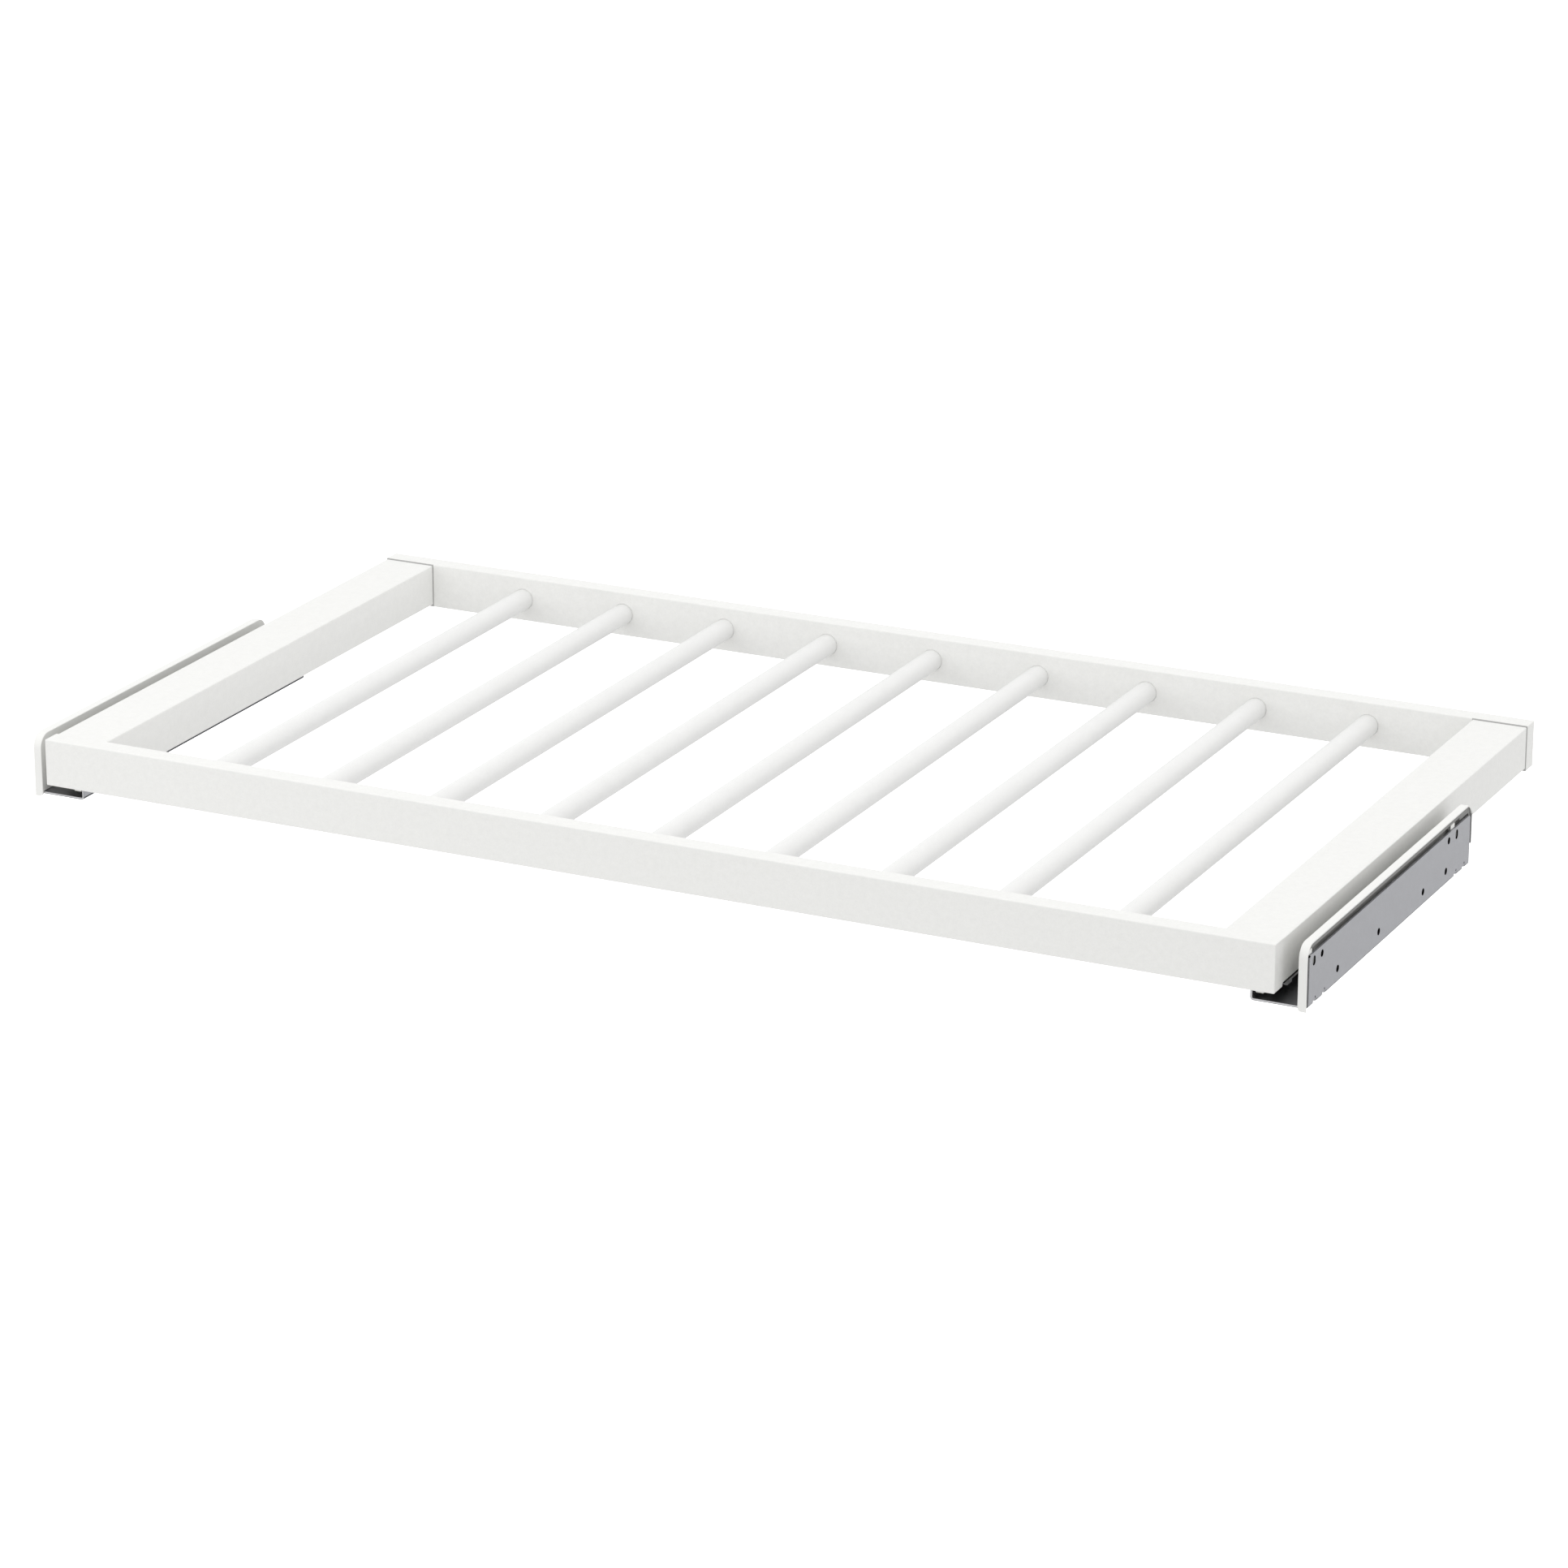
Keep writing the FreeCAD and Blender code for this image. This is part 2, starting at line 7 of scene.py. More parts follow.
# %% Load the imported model
import json
import math
import bmesh
import bpy
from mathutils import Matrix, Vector


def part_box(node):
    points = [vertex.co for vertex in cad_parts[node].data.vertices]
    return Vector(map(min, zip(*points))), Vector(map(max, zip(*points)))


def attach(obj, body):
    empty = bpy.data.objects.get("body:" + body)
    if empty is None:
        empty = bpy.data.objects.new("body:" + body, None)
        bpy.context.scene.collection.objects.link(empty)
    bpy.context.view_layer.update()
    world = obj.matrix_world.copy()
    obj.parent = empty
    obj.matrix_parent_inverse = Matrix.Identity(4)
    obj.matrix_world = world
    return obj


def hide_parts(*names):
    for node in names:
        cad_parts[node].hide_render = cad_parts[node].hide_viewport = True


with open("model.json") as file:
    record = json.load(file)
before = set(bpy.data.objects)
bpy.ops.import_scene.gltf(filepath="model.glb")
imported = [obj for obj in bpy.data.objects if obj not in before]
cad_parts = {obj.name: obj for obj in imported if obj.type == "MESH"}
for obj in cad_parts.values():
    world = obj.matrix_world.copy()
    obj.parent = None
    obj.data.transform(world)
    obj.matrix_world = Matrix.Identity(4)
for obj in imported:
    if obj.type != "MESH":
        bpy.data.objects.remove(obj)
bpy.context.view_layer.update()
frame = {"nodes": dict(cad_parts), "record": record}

MM = 0.001

# %% [markdown]
# ## Camera
# The rack is seen from its front right corner and a little above. A long lens from four metres
# away keeps the rods nearly parallel. The camera could track an empty, but two plain angles, as
# on a tripod head, say all that is needed.

# %% Camera
CAMERA_PLACE = (1.7315, -3.5627, 1.3885)
CAMERA_AZIMUTH = 26.014
CAMERA_ELEVATION = 19.221
LENS_MM = 135.82
SENSOR_WIDTH_MM = 36.0
SEEN_FROM_TO = (0.05, 60.0)             # metres


def make_camera():
    data = bpy.data.cameras.new("studio_camera")
    data.lens = LENS_MM
    data.sensor_width = SENSOR_WIDTH_MM
    data.clip_start, data.clip_end = SEEN_FROM_TO
    camera = bpy.data.objects.new("studio_camera", data)
    camera.location = CAMERA_PLACE
    camera.rotation_euler = (math.radians(90 - CAMERA_ELEVATION), 0.0, math.radians(CAMERA_AZIMUTH))
    bpy.context.scene.collection.objects.link(camera)
    bpy.context.scene.camera = camera
    return camera


print("lens", make_camera().data.lens, "mm")

# %% [markdown]
# ## Node helpers
# A material is a small network. These helpers add a node and set its plain values, so that the
# cells below read as a list of what each finish does.

# %% Node helpers


def add_node(tree, kind, **settings):
    node = tree.nodes.new(kind)
    for name, value in settings.items():
        setattr(node, name, value)
    return node


def fill(node, **values):
    """Sets a node's inputs, whose names have spaces where the keywords have underscores."""
    for name, value in values.items():
        node.inputs[name.replace("_", " ")].default_value = value
    return node


def math_node(tree, operation, first, second=None):
    """One sum or comparison. Each term is a number or another node's output."""
    node = add_node(tree, "ShaderNodeMath", operation=operation)
    for index, value in enumerate((first, second)):
        if isinstance(value, (int, float)):
            node.inputs[index].default_value = value
        elif value is not None:
            tree.links.new(value, node.inputs[index])
    return node.outputs[0]


def new_material(name):
    material = bpy.data.materials.new(name)
    material.use_nodes = True
    tree = material.node_tree
    tree.nodes.clear()
    output = add_node(tree, "ShaderNodeOutputMaterial")
    shader = add_node(tree, "ShaderNodeBsdfPrincipled")
    tree.links.new(shader.outputs["BSDF"], output.inputs["Surface"])
    return material, tree, shader


def blend_colours(tree, mask, low, high):
    mix = add_node(tree, "ShaderNodeMix", data_type="RGBA")
    mix.inputs[6].default_value = (*low, 1)
    mix.inputs[7].default_value = (*high, 1)
    tree.links.new(mask, mix.inputs[0])
    return mix.outputs[2]


def spread(tree, mask, low, high):
    """Turns a mask from 0 to 1 into a value from low to high."""
    node = fill(add_node(tree, "ShaderNodeMapRange"), To_Min=low, To_Max=high)
    tree.links.new(mask, node.inputs["Value"])
    return node.outputs["Result"]


# %% [markdown]
# ## Studio floor
# White goods are shown over a pale floor. It could be a sheet of paper bent up behind them, but a
# plain plane is enough here, because it lies well below the rack, as under a wardrobe shelf, and
# takes no shadow from it. It glows for the camera alone, so that it closes the background without
# lighting the rack from below.

# %% Floor
FLOOR_Z = -0.9
FLOOR_SIZE = 60.0
FLOOR_GREYS = ((0.62, 0.62, 0.62), (0.66, 0.66, 0.66))
FLOOR_ROUGHNESS = 0.9


def make_floor():
    bpy.ops.mesh.primitive_plane_add(size=FLOOR_SIZE, location=(0, 0, FLOOR_Z))
    floor = bpy.context.object
    floor.name = "studio_floor"
    material, tree, shader = new_material("pale_floor")
    grain = fill(add_node(tree, "ShaderNodeTexNoise"), Scale=4.0, Detail=3.0)
    colour = blend_colours(tree, grain.outputs["Fac"], *FLOOR_GREYS)
    tree.links.new(colour, shader.inputs["Base Color"])
    fill(shader, Roughness=FLOOR_ROUGHNESS, Emission_Color=(1, 1, 1, 1))
    seen = add_node(tree, "ShaderNodeLightPath")
    tree.links.new(seen.outputs["Is Camera Ray"], shader.inputs["Emission Strength"])
    floor.data.materials.append(material)
    return floor


print(make_floor().name, "at", FLOOR_Z, "m")

# %% [markdown]
# ## Light
# White goods on white ground need light from all sides, a little stronger from above and from
# the front, so that tops are nearly white and undersides stay readable. The sky gives most of it.
# Square lights add the difference, as softboxes and a card do in a studio, and each can be
# changed without the others. The card lifts the outside of the right-hand rail, and the floor
# bounce keeps the underside from going black.

# %% Light
SKY_STRENGTH = 0.975
BACKDROP_STRENGTH = 1.1                 # what the camera sees of the sky
SOFT_LIGHTS = (                         # name, place, aim, size in metres, power in watts
    ("overhead_softbox", (0.0, 0.0, 3.2), (0, 0, 0), 1.2, 11.2),
    ("front_softbox", (0.8, -4.5, -0.3), (0, 0, 0), 1.2, 6.6),
    ("near_left_softbox", (-0.9, -1.2, 0.5), (-0.4, 0.1, 0), 0.8, 2.0),
    ("right_card", (1.0, 0.45, 0.05), (0.46, 0.2, 0.03), 0.3, 0.25),
    ("floor_bounce", (0.0, 0.0, -0.85), (0, 0, 0), 2.5, 3.9))


def make_sky():
    world = bpy.data.worlds.new("studio_sky")
    bpy.context.scene.world = world
    world.use_nodes = True
    tree = world.node_tree
    tree.nodes.clear()
    output = add_node(tree, "ShaderNodeOutputWorld")
    sky, backdrop = (
        fill(add_node(tree, "ShaderNodeBackground"), Color=(1, 1, 1, 1), Strength=strength)
        for strength in (SKY_STRENGTH, BACKDROP_STRENGTH))
    seen = add_node(tree, "ShaderNodeLightPath")
    choose = add_node(tree, "ShaderNodeMixShader")
    tree.links.new(seen.outputs["Is Camera Ray"], choose.inputs[0])
    tree.links.new(sky.outputs[0], choose.inputs[1])
    tree.links.new(backdrop.outputs[0], choose.inputs[2])
    tree.links.new(choose.outputs[0], output.inputs["Surface"])


def soft_light(name, place, aim, size, power):
    data = bpy.data.lights.new(name, "AREA")
    data.shape = "SQUARE"
    data.size = size
    data.energy = power
    light = bpy.data.objects.new(name, data)
    light.location = place
    light.visible_camera = False
    light.rotation_euler = (Vector(aim) - Vector(place)).to_track_quat("-Z", "Y").to_euler()
    bpy.context.scene.collection.objects.link(light)


make_sky()
for light_values in SOFT_LIGHTS:
    soft_light(*light_values)
bpy.context.scene.view_settings.view_transform = "Standard"
print(len(SOFT_LIGHTS), "soft lights")

# %% [markdown]
# ## Fine unevenness
# Every finish here has some fine unevenness. One group makes it for all of them, so that a change
# here reaches each finish. Two sizes of noise, stretched along a grain direction if there is one,
# give a mask for colour and a height for the bump. The group reads object coordinates, so the
# pattern stays on a piece that moves.

# %% Fine unevenness
GRAIN_INPUTS = (("Coarse Scale", 40.0), ("Fine Scale", 900.0),
                ("Stretch X", 1.0), ("Stretch Y", 1.0), ("Stretch Z", 1.0))
GRAIN_NOISES = (                        # the input with its scale, its detail, the output
    ("Coarse Scale", 2.0, "Clouds"), ("Fine Scale", 3.0, "Grain"))


def make_fine_grain():
    group = bpy.data.node_groups.new("fine_grain", "ShaderNodeTree")
    interface = group.interface
    for name, value in GRAIN_INPUTS:
        socket = interface.new_socket(name, in_out="INPUT", socket_type="NodeSocketFloat")
        socket.default_value = value
    for _, _, name in GRAIN_NOISES:
        interface.new_socket(name, in_out="OUTPUT", socket_type="NodeSocketFloat")
    source = add_node(group, "NodeGroupInput")
    result = add_node(group, "NodeGroupOutput")
    place = add_node(group, "ShaderNodeTexCoord")
    stretch = add_node(group, "ShaderNodeCombineXYZ")
    for axis in "XYZ":
        group.links.new(source.outputs["Stretch " + axis], stretch.inputs[axis])
    scaled = add_node(group, "ShaderNodeVectorMath", operation="MULTIPLY")
    group.links.new(place.outputs["Object"], scaled.inputs[0])
    group.links.new(stretch.outputs[0], scaled.inputs[1])
    for scale_name, detail, name in GRAIN_NOISES:
        noise = fill(add_node(group, "ShaderNodeTexNoise"), Detail=detail)
        group.links.new(scaled.outputs[0], noise.inputs["Vector"])
        group.links.new(source.outputs[scale_name], noise.inputs["Scale"])
        group.links.new(noise.outputs["Fac"], result.inputs[name])
    return group


FINE_GRAIN = make_fine_grain()
print("the grain group has", len(FINE_GRAIN.nodes), "nodes")

# %% [markdown]
# ## Finishes
# The rails are board under a satin foil, the rods powder coated tube, the sheet and the fasteners
# zinc plated, and the rest is moulded plastic and bare beech. Each could be a network of its own,
# but they differ only in two colours, a range of gloss and the size and depth of their grain, so
# one function makes them all.

# %% Finishes
CLOUD_SHARE = 0.5                       # of the colour's change, the rest follows the fine grain
BUMP_STRENGTH = 0.6


def grained(name, low, high, roughness, bump, metallic=0.0, **grain_values):
    """A finish whose colour, gloss and height all follow the fine grain."""
    material, tree, shader = new_material(name)
    grain = fill(add_node(tree, "ShaderNodeGroup", node_tree=FINE_GRAIN), **grain_values)
    clouds = math_node(tree, "MULTIPLY", grain.outputs["Clouds"], CLOUD_SHARE)
    fine = math_node(tree, "MULTIPLY", grain.outputs["Grain"], 1 - CLOUD_SHARE)
    both = math_node(tree, "ADD", clouds, fine)
    tree.links.new(blend_colours(tree, both, low, high), shader.inputs["Base Color"])
    gloss = spread(tree, grain.outputs["Clouds"], *roughness)
    tree.links.new(gloss, shader.inputs["Roughness"])
    height = fill(add_node(tree, "ShaderNodeBump"), Distance=bump, Strength=BUMP_STRENGTH)
    tree.links.new(grain.outputs["Grain"], height.inputs["Height"])
    tree.links.new(height.outputs[0], shader.inputs["Normal"])
    shader.inputs["Metallic"].default_value = metallic
    return material


FINISHES = {
    "rail_foil": grained("white_foil", (0.79, 0.79, 0.77), (0.92, 0.92, 0.9), (0.42, 0.52),
                         0.02 * MM, Coarse_Scale=240.0, Fine_Scale=700.0),
    "rod_paint": grained("white_powder_coat", (0.83, 0.83, 0.82), (0.9, 0.9, 0.89), (0.3, 0.4),
                         0.03 * MM, Coarse_Scale=60.0, Fine_Scale=500.0),
    "runner_steel": grained("zinc_plated_sheet", (0.46, 0.465, 0.485), (0.58, 0.585, 0.61),
                            (0.42, 0.55), 0.01 * MM, metallic=1.0, Coarse_Scale=200.0),
    "cover_plastic": grained("white_moulded_plastic", (0.85, 0.85, 0.83), (0.88, 0.88, 0.86),
                             (0.45, 0.55), 0.02 * MM, Coarse_Scale=50.0, Fine_Scale=1600.0),
    "guide_nylon": grained("natural_nylon", (0.76, 0.76, 0.72), (0.8, 0.8, 0.77), (0.35, 0.45),
                           0.01 * MM),
    "roller_nylon": grained("roller_nylon", (0.74, 0.74, 0.7), (0.78, 0.78, 0.74), (0.3, 0.4),
                            0.01 * MM),
    "cage_plastic": grained("black_plastic", (0.02, 0.02, 0.022), (0.035, 0.035, 0.037),
                            (0.45, 0.6), 0.02 * MM),
    "fastener_steel": grained("bright_zinc", (0.55, 0.55, 0.57), (0.65, 0.65, 0.67), (0.3, 0.42),
                              0.01 * MM, metallic=1.0),
    "beech": grained("bare_beech", (0.5, 0.34, 0.2), (0.68, 0.5, 0.32), (0.6, 0.75), 0.03 * MM,
                     Stretch_Y=0.1),
}
print(len(FINISHES), "finishes")

# %% [markdown]
# ## Tools for masks
# Some finishes change where a piece turns inwards, or at one place on it. Such a mask could be
# painted, but it would need an unwrapped surface. Here it is worked out from the place and the
# normal of each point, so it is sharp from near as well. Both sides of the rack share one mask,
# because it counts X outwards from the middle of the rack without its sign.

# %% Tools for masks
TOWARDS_MIDDLE = (0.5 * MM, 3 * MM)     # where a surface starts and ends to count as facing it


def ramp(tree, value, start, end):
    """0 up to start and 1 from end on, or the other way round where end is the lower one."""
    node = fill(add_node(tree, "ShaderNodeMapRange"), From_Min=start, From_Max=end)
    tree.links.new(value, node.inputs["Value"])
    return node.outputs["Result"]


def new_mask_group(name, output):
    """A group with the place and the normal of a point, X counted outwards on both sides."""
    group = bpy.data.node_groups.new(name, "ShaderNodeTree")
    group.interface.new_socket(output, in_out="OUTPUT", socket_type="NodeSocketFloat")
    result = add_node(group, "NodeGroupOutput")
    coordinates = add_node(group, "ShaderNodeTexCoord")
    place, normal = {}, {}
    for source, values in (("Object", place), ("Normal", normal)):
        split = add_node(group, "ShaderNodeSeparateXYZ")
        group.links.new(coordinates.outputs[source], split.inputs[0])
        values.update({axis: split.outputs[axis] for axis in "XYZ"})
    side = math_node(group, "SIGN", place["X"])
    normal["X"] = math_node(group, "MULTIPLY", normal["X"], side)
    place["X"] = math_node(group, "ABSOLUTE", place["X"])
    return group, place, normal, result.inputs[output]


def within(tree, place, ranges):
    """1 where the place lies between the limits on every axis named."""
    inside = 1.0
    for axis, (low, high) in ranges.items():
        for operation, limit in (("GREATER_THAN", low), ("LESS_THAN", high)):
            passed = math_node(tree, operation, place[axis], limit)
            inside = math_node(tree, "MULTIPLY", inside, passed)
    return inside


def facing(tree, place, normal, middle):
    """1 where a surface looks towards a middle line: the normal times the way to that line."""
    terms = []
    for axis, value in middle.items():
        way = math_node(tree, "SUBTRACT", value, place[axis])
        terms.append(math_node(tree, "MULTIPLY", way, normal[axis]))
    return ramp(tree, math_node(tree, "ADD", *terms), *TOWARDS_MIDDLE)


def make_place_mask(name, ranges):
    group, place, normal, result = new_mask_group(name, "Inside")
    group.links.new(within(group, place, ranges), result)
    return group


# %% [markdown]
# ## Painted shade and highlights on the steel
# The plated sheet is bright outside, but the track that the rollers run in gets painted shade.
# Its front edge was sheared, which leaves a bright burnished band, painted brighter still as a
# highlight, and, next to the outer face, a dull torn one, darkened with painted shade. The
# underside and the lip's bend get painted shade, and so do the screw holes and the corner under
# the rail. The flange of the drawer member is painted lighter, as a highlight. Each of these is a
# mask of its own, so that one can be moved or left out without the others.

# %% Masks for the steel
TRACK_MIDDLE = {"X": 461 * MM, "Z": 8 * MM}
TRACK_TOP = (17 * MM, 13 * MM)          # the painted shade fades out between these heights
SHEARED_END_Y = -235.6 * MM
SHEET_OUTSIDES = (("X", 442.2 * MM, 1), ("X", 482 * MM, -1), ("Z", 1.7 * MM, 1))
TORN_SHADED_BAND = 0.5 * MM
LIP_BEND = {"X": (441 * MM, 443 * MM), "Z": (1 * MM, 3.9 * MM)}
HOLES_INSIDE = {"X": (480.4 * MM, 483 * MM), "Y": (-234.5 * MM, 66.8 * MM),
                "Z": (7 * MM, 37.7 * MM)}
UNDER_RAIL = {"X": (460 * MM, 470 * MM), "Z": (14.4 * MM, 17 * MM)}
FLANGE = {"X": (460 * MM, 470 * MM), "Z": (11 * MM, 14.4 * MM)}
FACES_FRONT = (-0.6, -0.9)              # the normal's Y
FACES_DOWN = (-0.1, -0.4)               # the normal's Z
EDGE_ON, FACES_OUTWARDS = 0.5, 0.2      # the normal's X: below the first, and above the second


# Painted shade: darkens the inside of the track, low in the channel and facing its middle.
def make_track_shade_mask():
    group, place, normal, result = new_mask_group("painted_shade_in_track", "TrackShade")
    low = ramp(group, place["Z"], *TRACK_TOP)
    inside = facing(group, place, normal, TRACK_MIDDLE)
    group.links.new(math_node(group, "MULTIPLY", inside, low), result)
    return group


def make_end_mask(name, torn_shaded):
    """The sheared front edge: a burnished band with a painted highlight, and near the sheet's outer
    faces a torn band with painted shade.
    """
    group, place, normal, result = new_mask_group(name, "Band")
    depth = 1.0
    for axis, outside, inwards in SHEET_OUTSIDES:
        past = math_node(group, "SUBTRACT", place[axis], outside)
        depth = math_node(group, "MINIMUM", depth, math_node(group, "MULTIPLY", past, inwards))
    front = math_node(group, "LESS_THAN", place["Y"], SHEARED_END_Y)
    edge = math_node(group, "MULTIPLY", front, ramp(group, normal["Y"], *FACES_FRONT))
    band = math_node(group, "LESS_THAN" if torn_shaded else "GREATER_THAN", depth, TORN_SHADED_BAND)
    group.links.new(math_node(group, "MULTIPLY", edge, band), result)
    return group


# Painted shade on the steel's down-facing faces and on the lip's bend.
def make_underside_shade_mask():
    group, place, normal, result = new_mask_group("painted_shade_underside", "UndersideShade")
    below = ramp(group, normal["Z"], *FACES_DOWN)
    group.links.new(math_node(group, "MAXIMUM", below, within(group, place, LIP_BEND)), result)
    return group


# Painted shade in the screw holes and in the corner under the rail.
def make_holes_and_corner_shade_mask():
    group, place, normal, result = new_mask_group("painted_shade_in_holes_and_corner", "HoleShade")
    edge_on = math_node(group, "LESS_THAN", math_node(group, "ABSOLUTE", normal["X"]), EDGE_ON)
    holes = math_node(group, "MULTIPLY", edge_on, within(group, place, HOLES_INSIDE))
    outwards = math_node(group, "GREATER_THAN", normal["X"], FACES_OUTWARDS)
    corner = math_node(group, "MULTIPLY", outwards, within(group, place, UNDER_RAIL))
    group.links.new(math_node(group, "MAXIMUM", holes, corner), result)
    return group


# %% [markdown]
# ## Painted shade on the covers and the rails
# The cover is white outside, but its hollow, with the recessed edge beside the wall, is darkened
# with painted shade, and so are the ends of its pegs. Its long side towards the frame gets a
# lighter painted shade, and the rim of its back end is made darker. In the rails' open joints at
# the back, the foil's cut edge shows grey, with painted shadow in the gap.

# %% Masks for the covers and the rails
COVER_MIDDLE = {"Y": -83 * MM, "Z": 22 * MM}
COVER_RIM_X = 480.8 * MM
COVER_SHADE_X = (478.3 * MM, 480.3 * MM)         # the painted shade deepens up to the recessed edge
COVER_SHADE = (0.65, 0.9)
FACES_WALL = (0.4, 0.7)                 # the normal's X
FACES_FRAME = (-0.7, -0.95)             # the normal's X
PEG_ENDS = {"X": (480.4 * MM, 481.3 * MM), "Y": (-234 * MM, 66 * MM), "Z": (29 * MM, 36 * MM)}
REAR_RIM = {"X": (480.8 * MM, 483 * MM), "Y": (70.8 * MM, 73 * MM), "Z": (15 * MM, 40 * MM)}
RAIL_JOINTS = {"X": (422.5 * MM, 464.5 * MM), "Y": (234.6 * MM, 235.5 * MM)}


# Painted shade in the cover's hollow and on its recessed edge beside the wall.
def make_hollow_shade_mask():
    group, place, normal, result = new_mask_group("painted_shade_in_cover_hollow", "HollowShade")
    inwards = facing(group, place, normal, COVER_MIDDLE)
    to_wall = ramp(group, normal["X"], *FACES_WALL)
    inside = math_node(group, "MAXIMUM", inwards, to_wall)
    deep = math_node(group, "LESS_THAN", place["X"], COVER_RIM_X)
    shade_amount = fill(add_node(group, "ShaderNodeMapRange"), From_Min=COVER_SHADE_X[0],
                From_Max=COVER_SHADE_X[1], To_Min=COVER_SHADE[0], To_Max=COVER_SHADE[1])
    group.links.new(place["X"], shade_amount.inputs["Value"])
    both = math_node(group, "MULTIPLY", inside, deep)
    group.links.new(math_node(group, "MULTIPLY", both, shade_amount.outputs["Result"]), result)
    return group


# Painted shade on the cover's side that faces the frame.
def make_frame_side_shade_mask():
    group, place, normal, result = new_mask_group("painted_shade_facing_frame", "SideShade")
    group.links.new(ramp(group, normal["X"], *FACES_FRAME), result)
    return group


# %% [markdown]
# ## Painted light and shade
# Each mask lays one more colour over a finish's own, mostly painted shade, with painted highlights
# on the sheared edge and the flange. A second material could do the same, but it would need faces
# that end where the mask ends. The order matters where masks meet, since a later colour covers an
# earlier one. The finishes then go into the slots of the imported pieces.

# %% Wear
PAINTED_LIGHT_AND_SHADE = (
    ("runner_steel", make_underside_shade_mask(), (0.09, 0.09, 0.095)),
    ("runner_steel", make_track_shade_mask(), (0.25, 0.25, 0.26)),
    # Painted highlight on the burnished band, painted shade on the torn band.
    ("runner_steel", make_end_mask("burnished_band_with_highlight", torn_shaded=False), (0.7, 0.7, 0.71)),
    ("runner_steel", make_end_mask("torn_band_with_shade", torn_shaded=True), (0.36, 0.36, 0.37)),
    # Painted highlight: the drawer member's flange is made lighter.
    ("runner_steel", make_place_mask("painted_highlight_flange", FLANGE), (0.8, 0.8, 0.81)),
    ("runner_steel", make_holes_and_corner_shade_mask(), (0.03, 0.03, 0.03)),
    ("rail_foil", make_place_mask("joint_shadow", RAIL_JOINTS), (0.45, 0.45, 0.44)),
    ("cover_plastic", make_frame_side_shade_mask(), (0.72, 0.72, 0.7)),
    ("cover_plastic", make_hollow_shade_mask(), (0.17, 0.17, 0.165)),
    # Painted shade on the ends of the pegs.
    ("cover_plastic", make_place_mask("shaded_peg_ends", PEG_ENDS), (0.2, 0.2, 0.195)),
    # The rim of the cover's back end, by the wall, is made darker.
    ("cover_plastic", make_place_mask("darker_rear_rim", REAR_RIM), (0.3, 0.3, 0.295)))


def lay_over(material, mask_group, colour):
    """Changes a finish's colour where the mask is 1."""
    tree = material.node_tree
    mask = add_node(tree, "ShaderNodeGroup", node_tree=mask_group)
    socket = tree.nodes["Principled BSDF"].inputs["Base Color"]
    mix = add_node(tree, "ShaderNodeMix", data_type="RGBA")
    tree.links.new(socket.links[0].from_socket, mix.inputs[6])
    mix.inputs[7].default_value = (*colour, 1)
    tree.links.new(mask.outputs[0], mix.inputs[0])
    tree.links.new(mix.outputs[2], socket)


for slot_name, mask_group, colour in PAINTED_LIGHT_AND_SHADE:
    lay_over(FINISHES[slot_name], mask_group, colour)
slots = {part["node"]: part["material_slot"] for part in frame["record"]["subparts"]}
for node, piece in frame["nodes"].items():
    for held in piece.material_slots:
        held.material = FINISHES[slots[node]]
print(len(PAINTED_LIGHT_AND_SHADE), "painted light and shade masks,", len(slots), "pieces finished")

# %% [markdown]
# ## Starting and selecting
# Each new piece is made in edit mode as by hand: a primitive of the right size, then insets,
# extrusions and bevels. Faces and edges could be picked by their numbers, but numbers change with
# every step, so they are picked by where they lie. The primitive's place is moved into its mesh
# at once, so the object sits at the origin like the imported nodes.

# %% Starting and selecting
ABOUT = 0.02 * MM                       # how near a place must be to count as the same
STRAIGHT = 0.99                         # a face across an axis: its normal's part along the axis
CYLINDER_TURNS = {"X": (0, math.radians(90), 0), "Y": (math.radians(90), 0, 0), "Z": (0, 0, 0)}


def deselect_everything():
    if bpy.context.mode != "OBJECT":
        bpy.ops.object.mode_set(mode="OBJECT")
    bpy.ops.object.select_all(action="DESELECT")


def place_into_mesh(piece):
    bpy.ops.object.transform_apply(location=True, rotation=True, scale=True)
    return piece


def named_and_open(name):
    """Names the primitive just added, moves its place into its mesh and opens it for editing."""
    piece = place_into_mesh(bpy.context.object)
    piece.name = piece.data.name = name
    bpy.ops.object.mode_set(mode="EDIT")
    return piece


def cylinder_at(name, radius, length, middle, along, sides):
    deselect_everything()
    bpy.ops.mesh.primitive_cylinder_add(vertices=sides, radius=radius, depth=length,
                                        location=middle, rotation=CYLINDER_TURNS[along])
    return named_and_open(name)


def block_at(name, low, high):
    deselect_everything()
    low, high = Vector(low), Vector(high)
    bpy.ops.mesh.primitive_cube_add(size=1, location=(low + high) / 2, scale=high - low)
    return named_and_open(name)


def pick(piece, parts, test):
    """Selects the faces or edges whose middle passes the test."""
    bpy.ops.mesh.select_mode(type={"faces": "FACE", "edges": "EDGE"}[parts])
    bpy.ops.mesh.select_all(action="DESELECT")
    mesh = bmesh.from_edit_mesh(piece.data)
    for item in getattr(mesh, parts):
        middle = sum((corner.co for corner in item.verts), Vector()) / len(item.verts)
        item.select_set(bool(test(middle, item)))
    bmesh.update_edit_mesh(piece.data)


def runs_along(edge, axis):
    """Whether an edge lies along an axis, which is 0 for X, 1 for Y and 2 for Z."""
    start, end = (corner.co[axis] for corner in edge.verts)
    return abs(end - start) > STRAIGHT * edge.calc_length()


# %% [markdown]
# ## Shaping
# Turned forms grow out of a round cap step by step, as on a lathe. Pockets and bores are cut by a
# Boolean modifier, which is quicker than bridging each opening by hand. Moulded pieces then get
# all their sharp edges broken at once by a Bevel modifier.

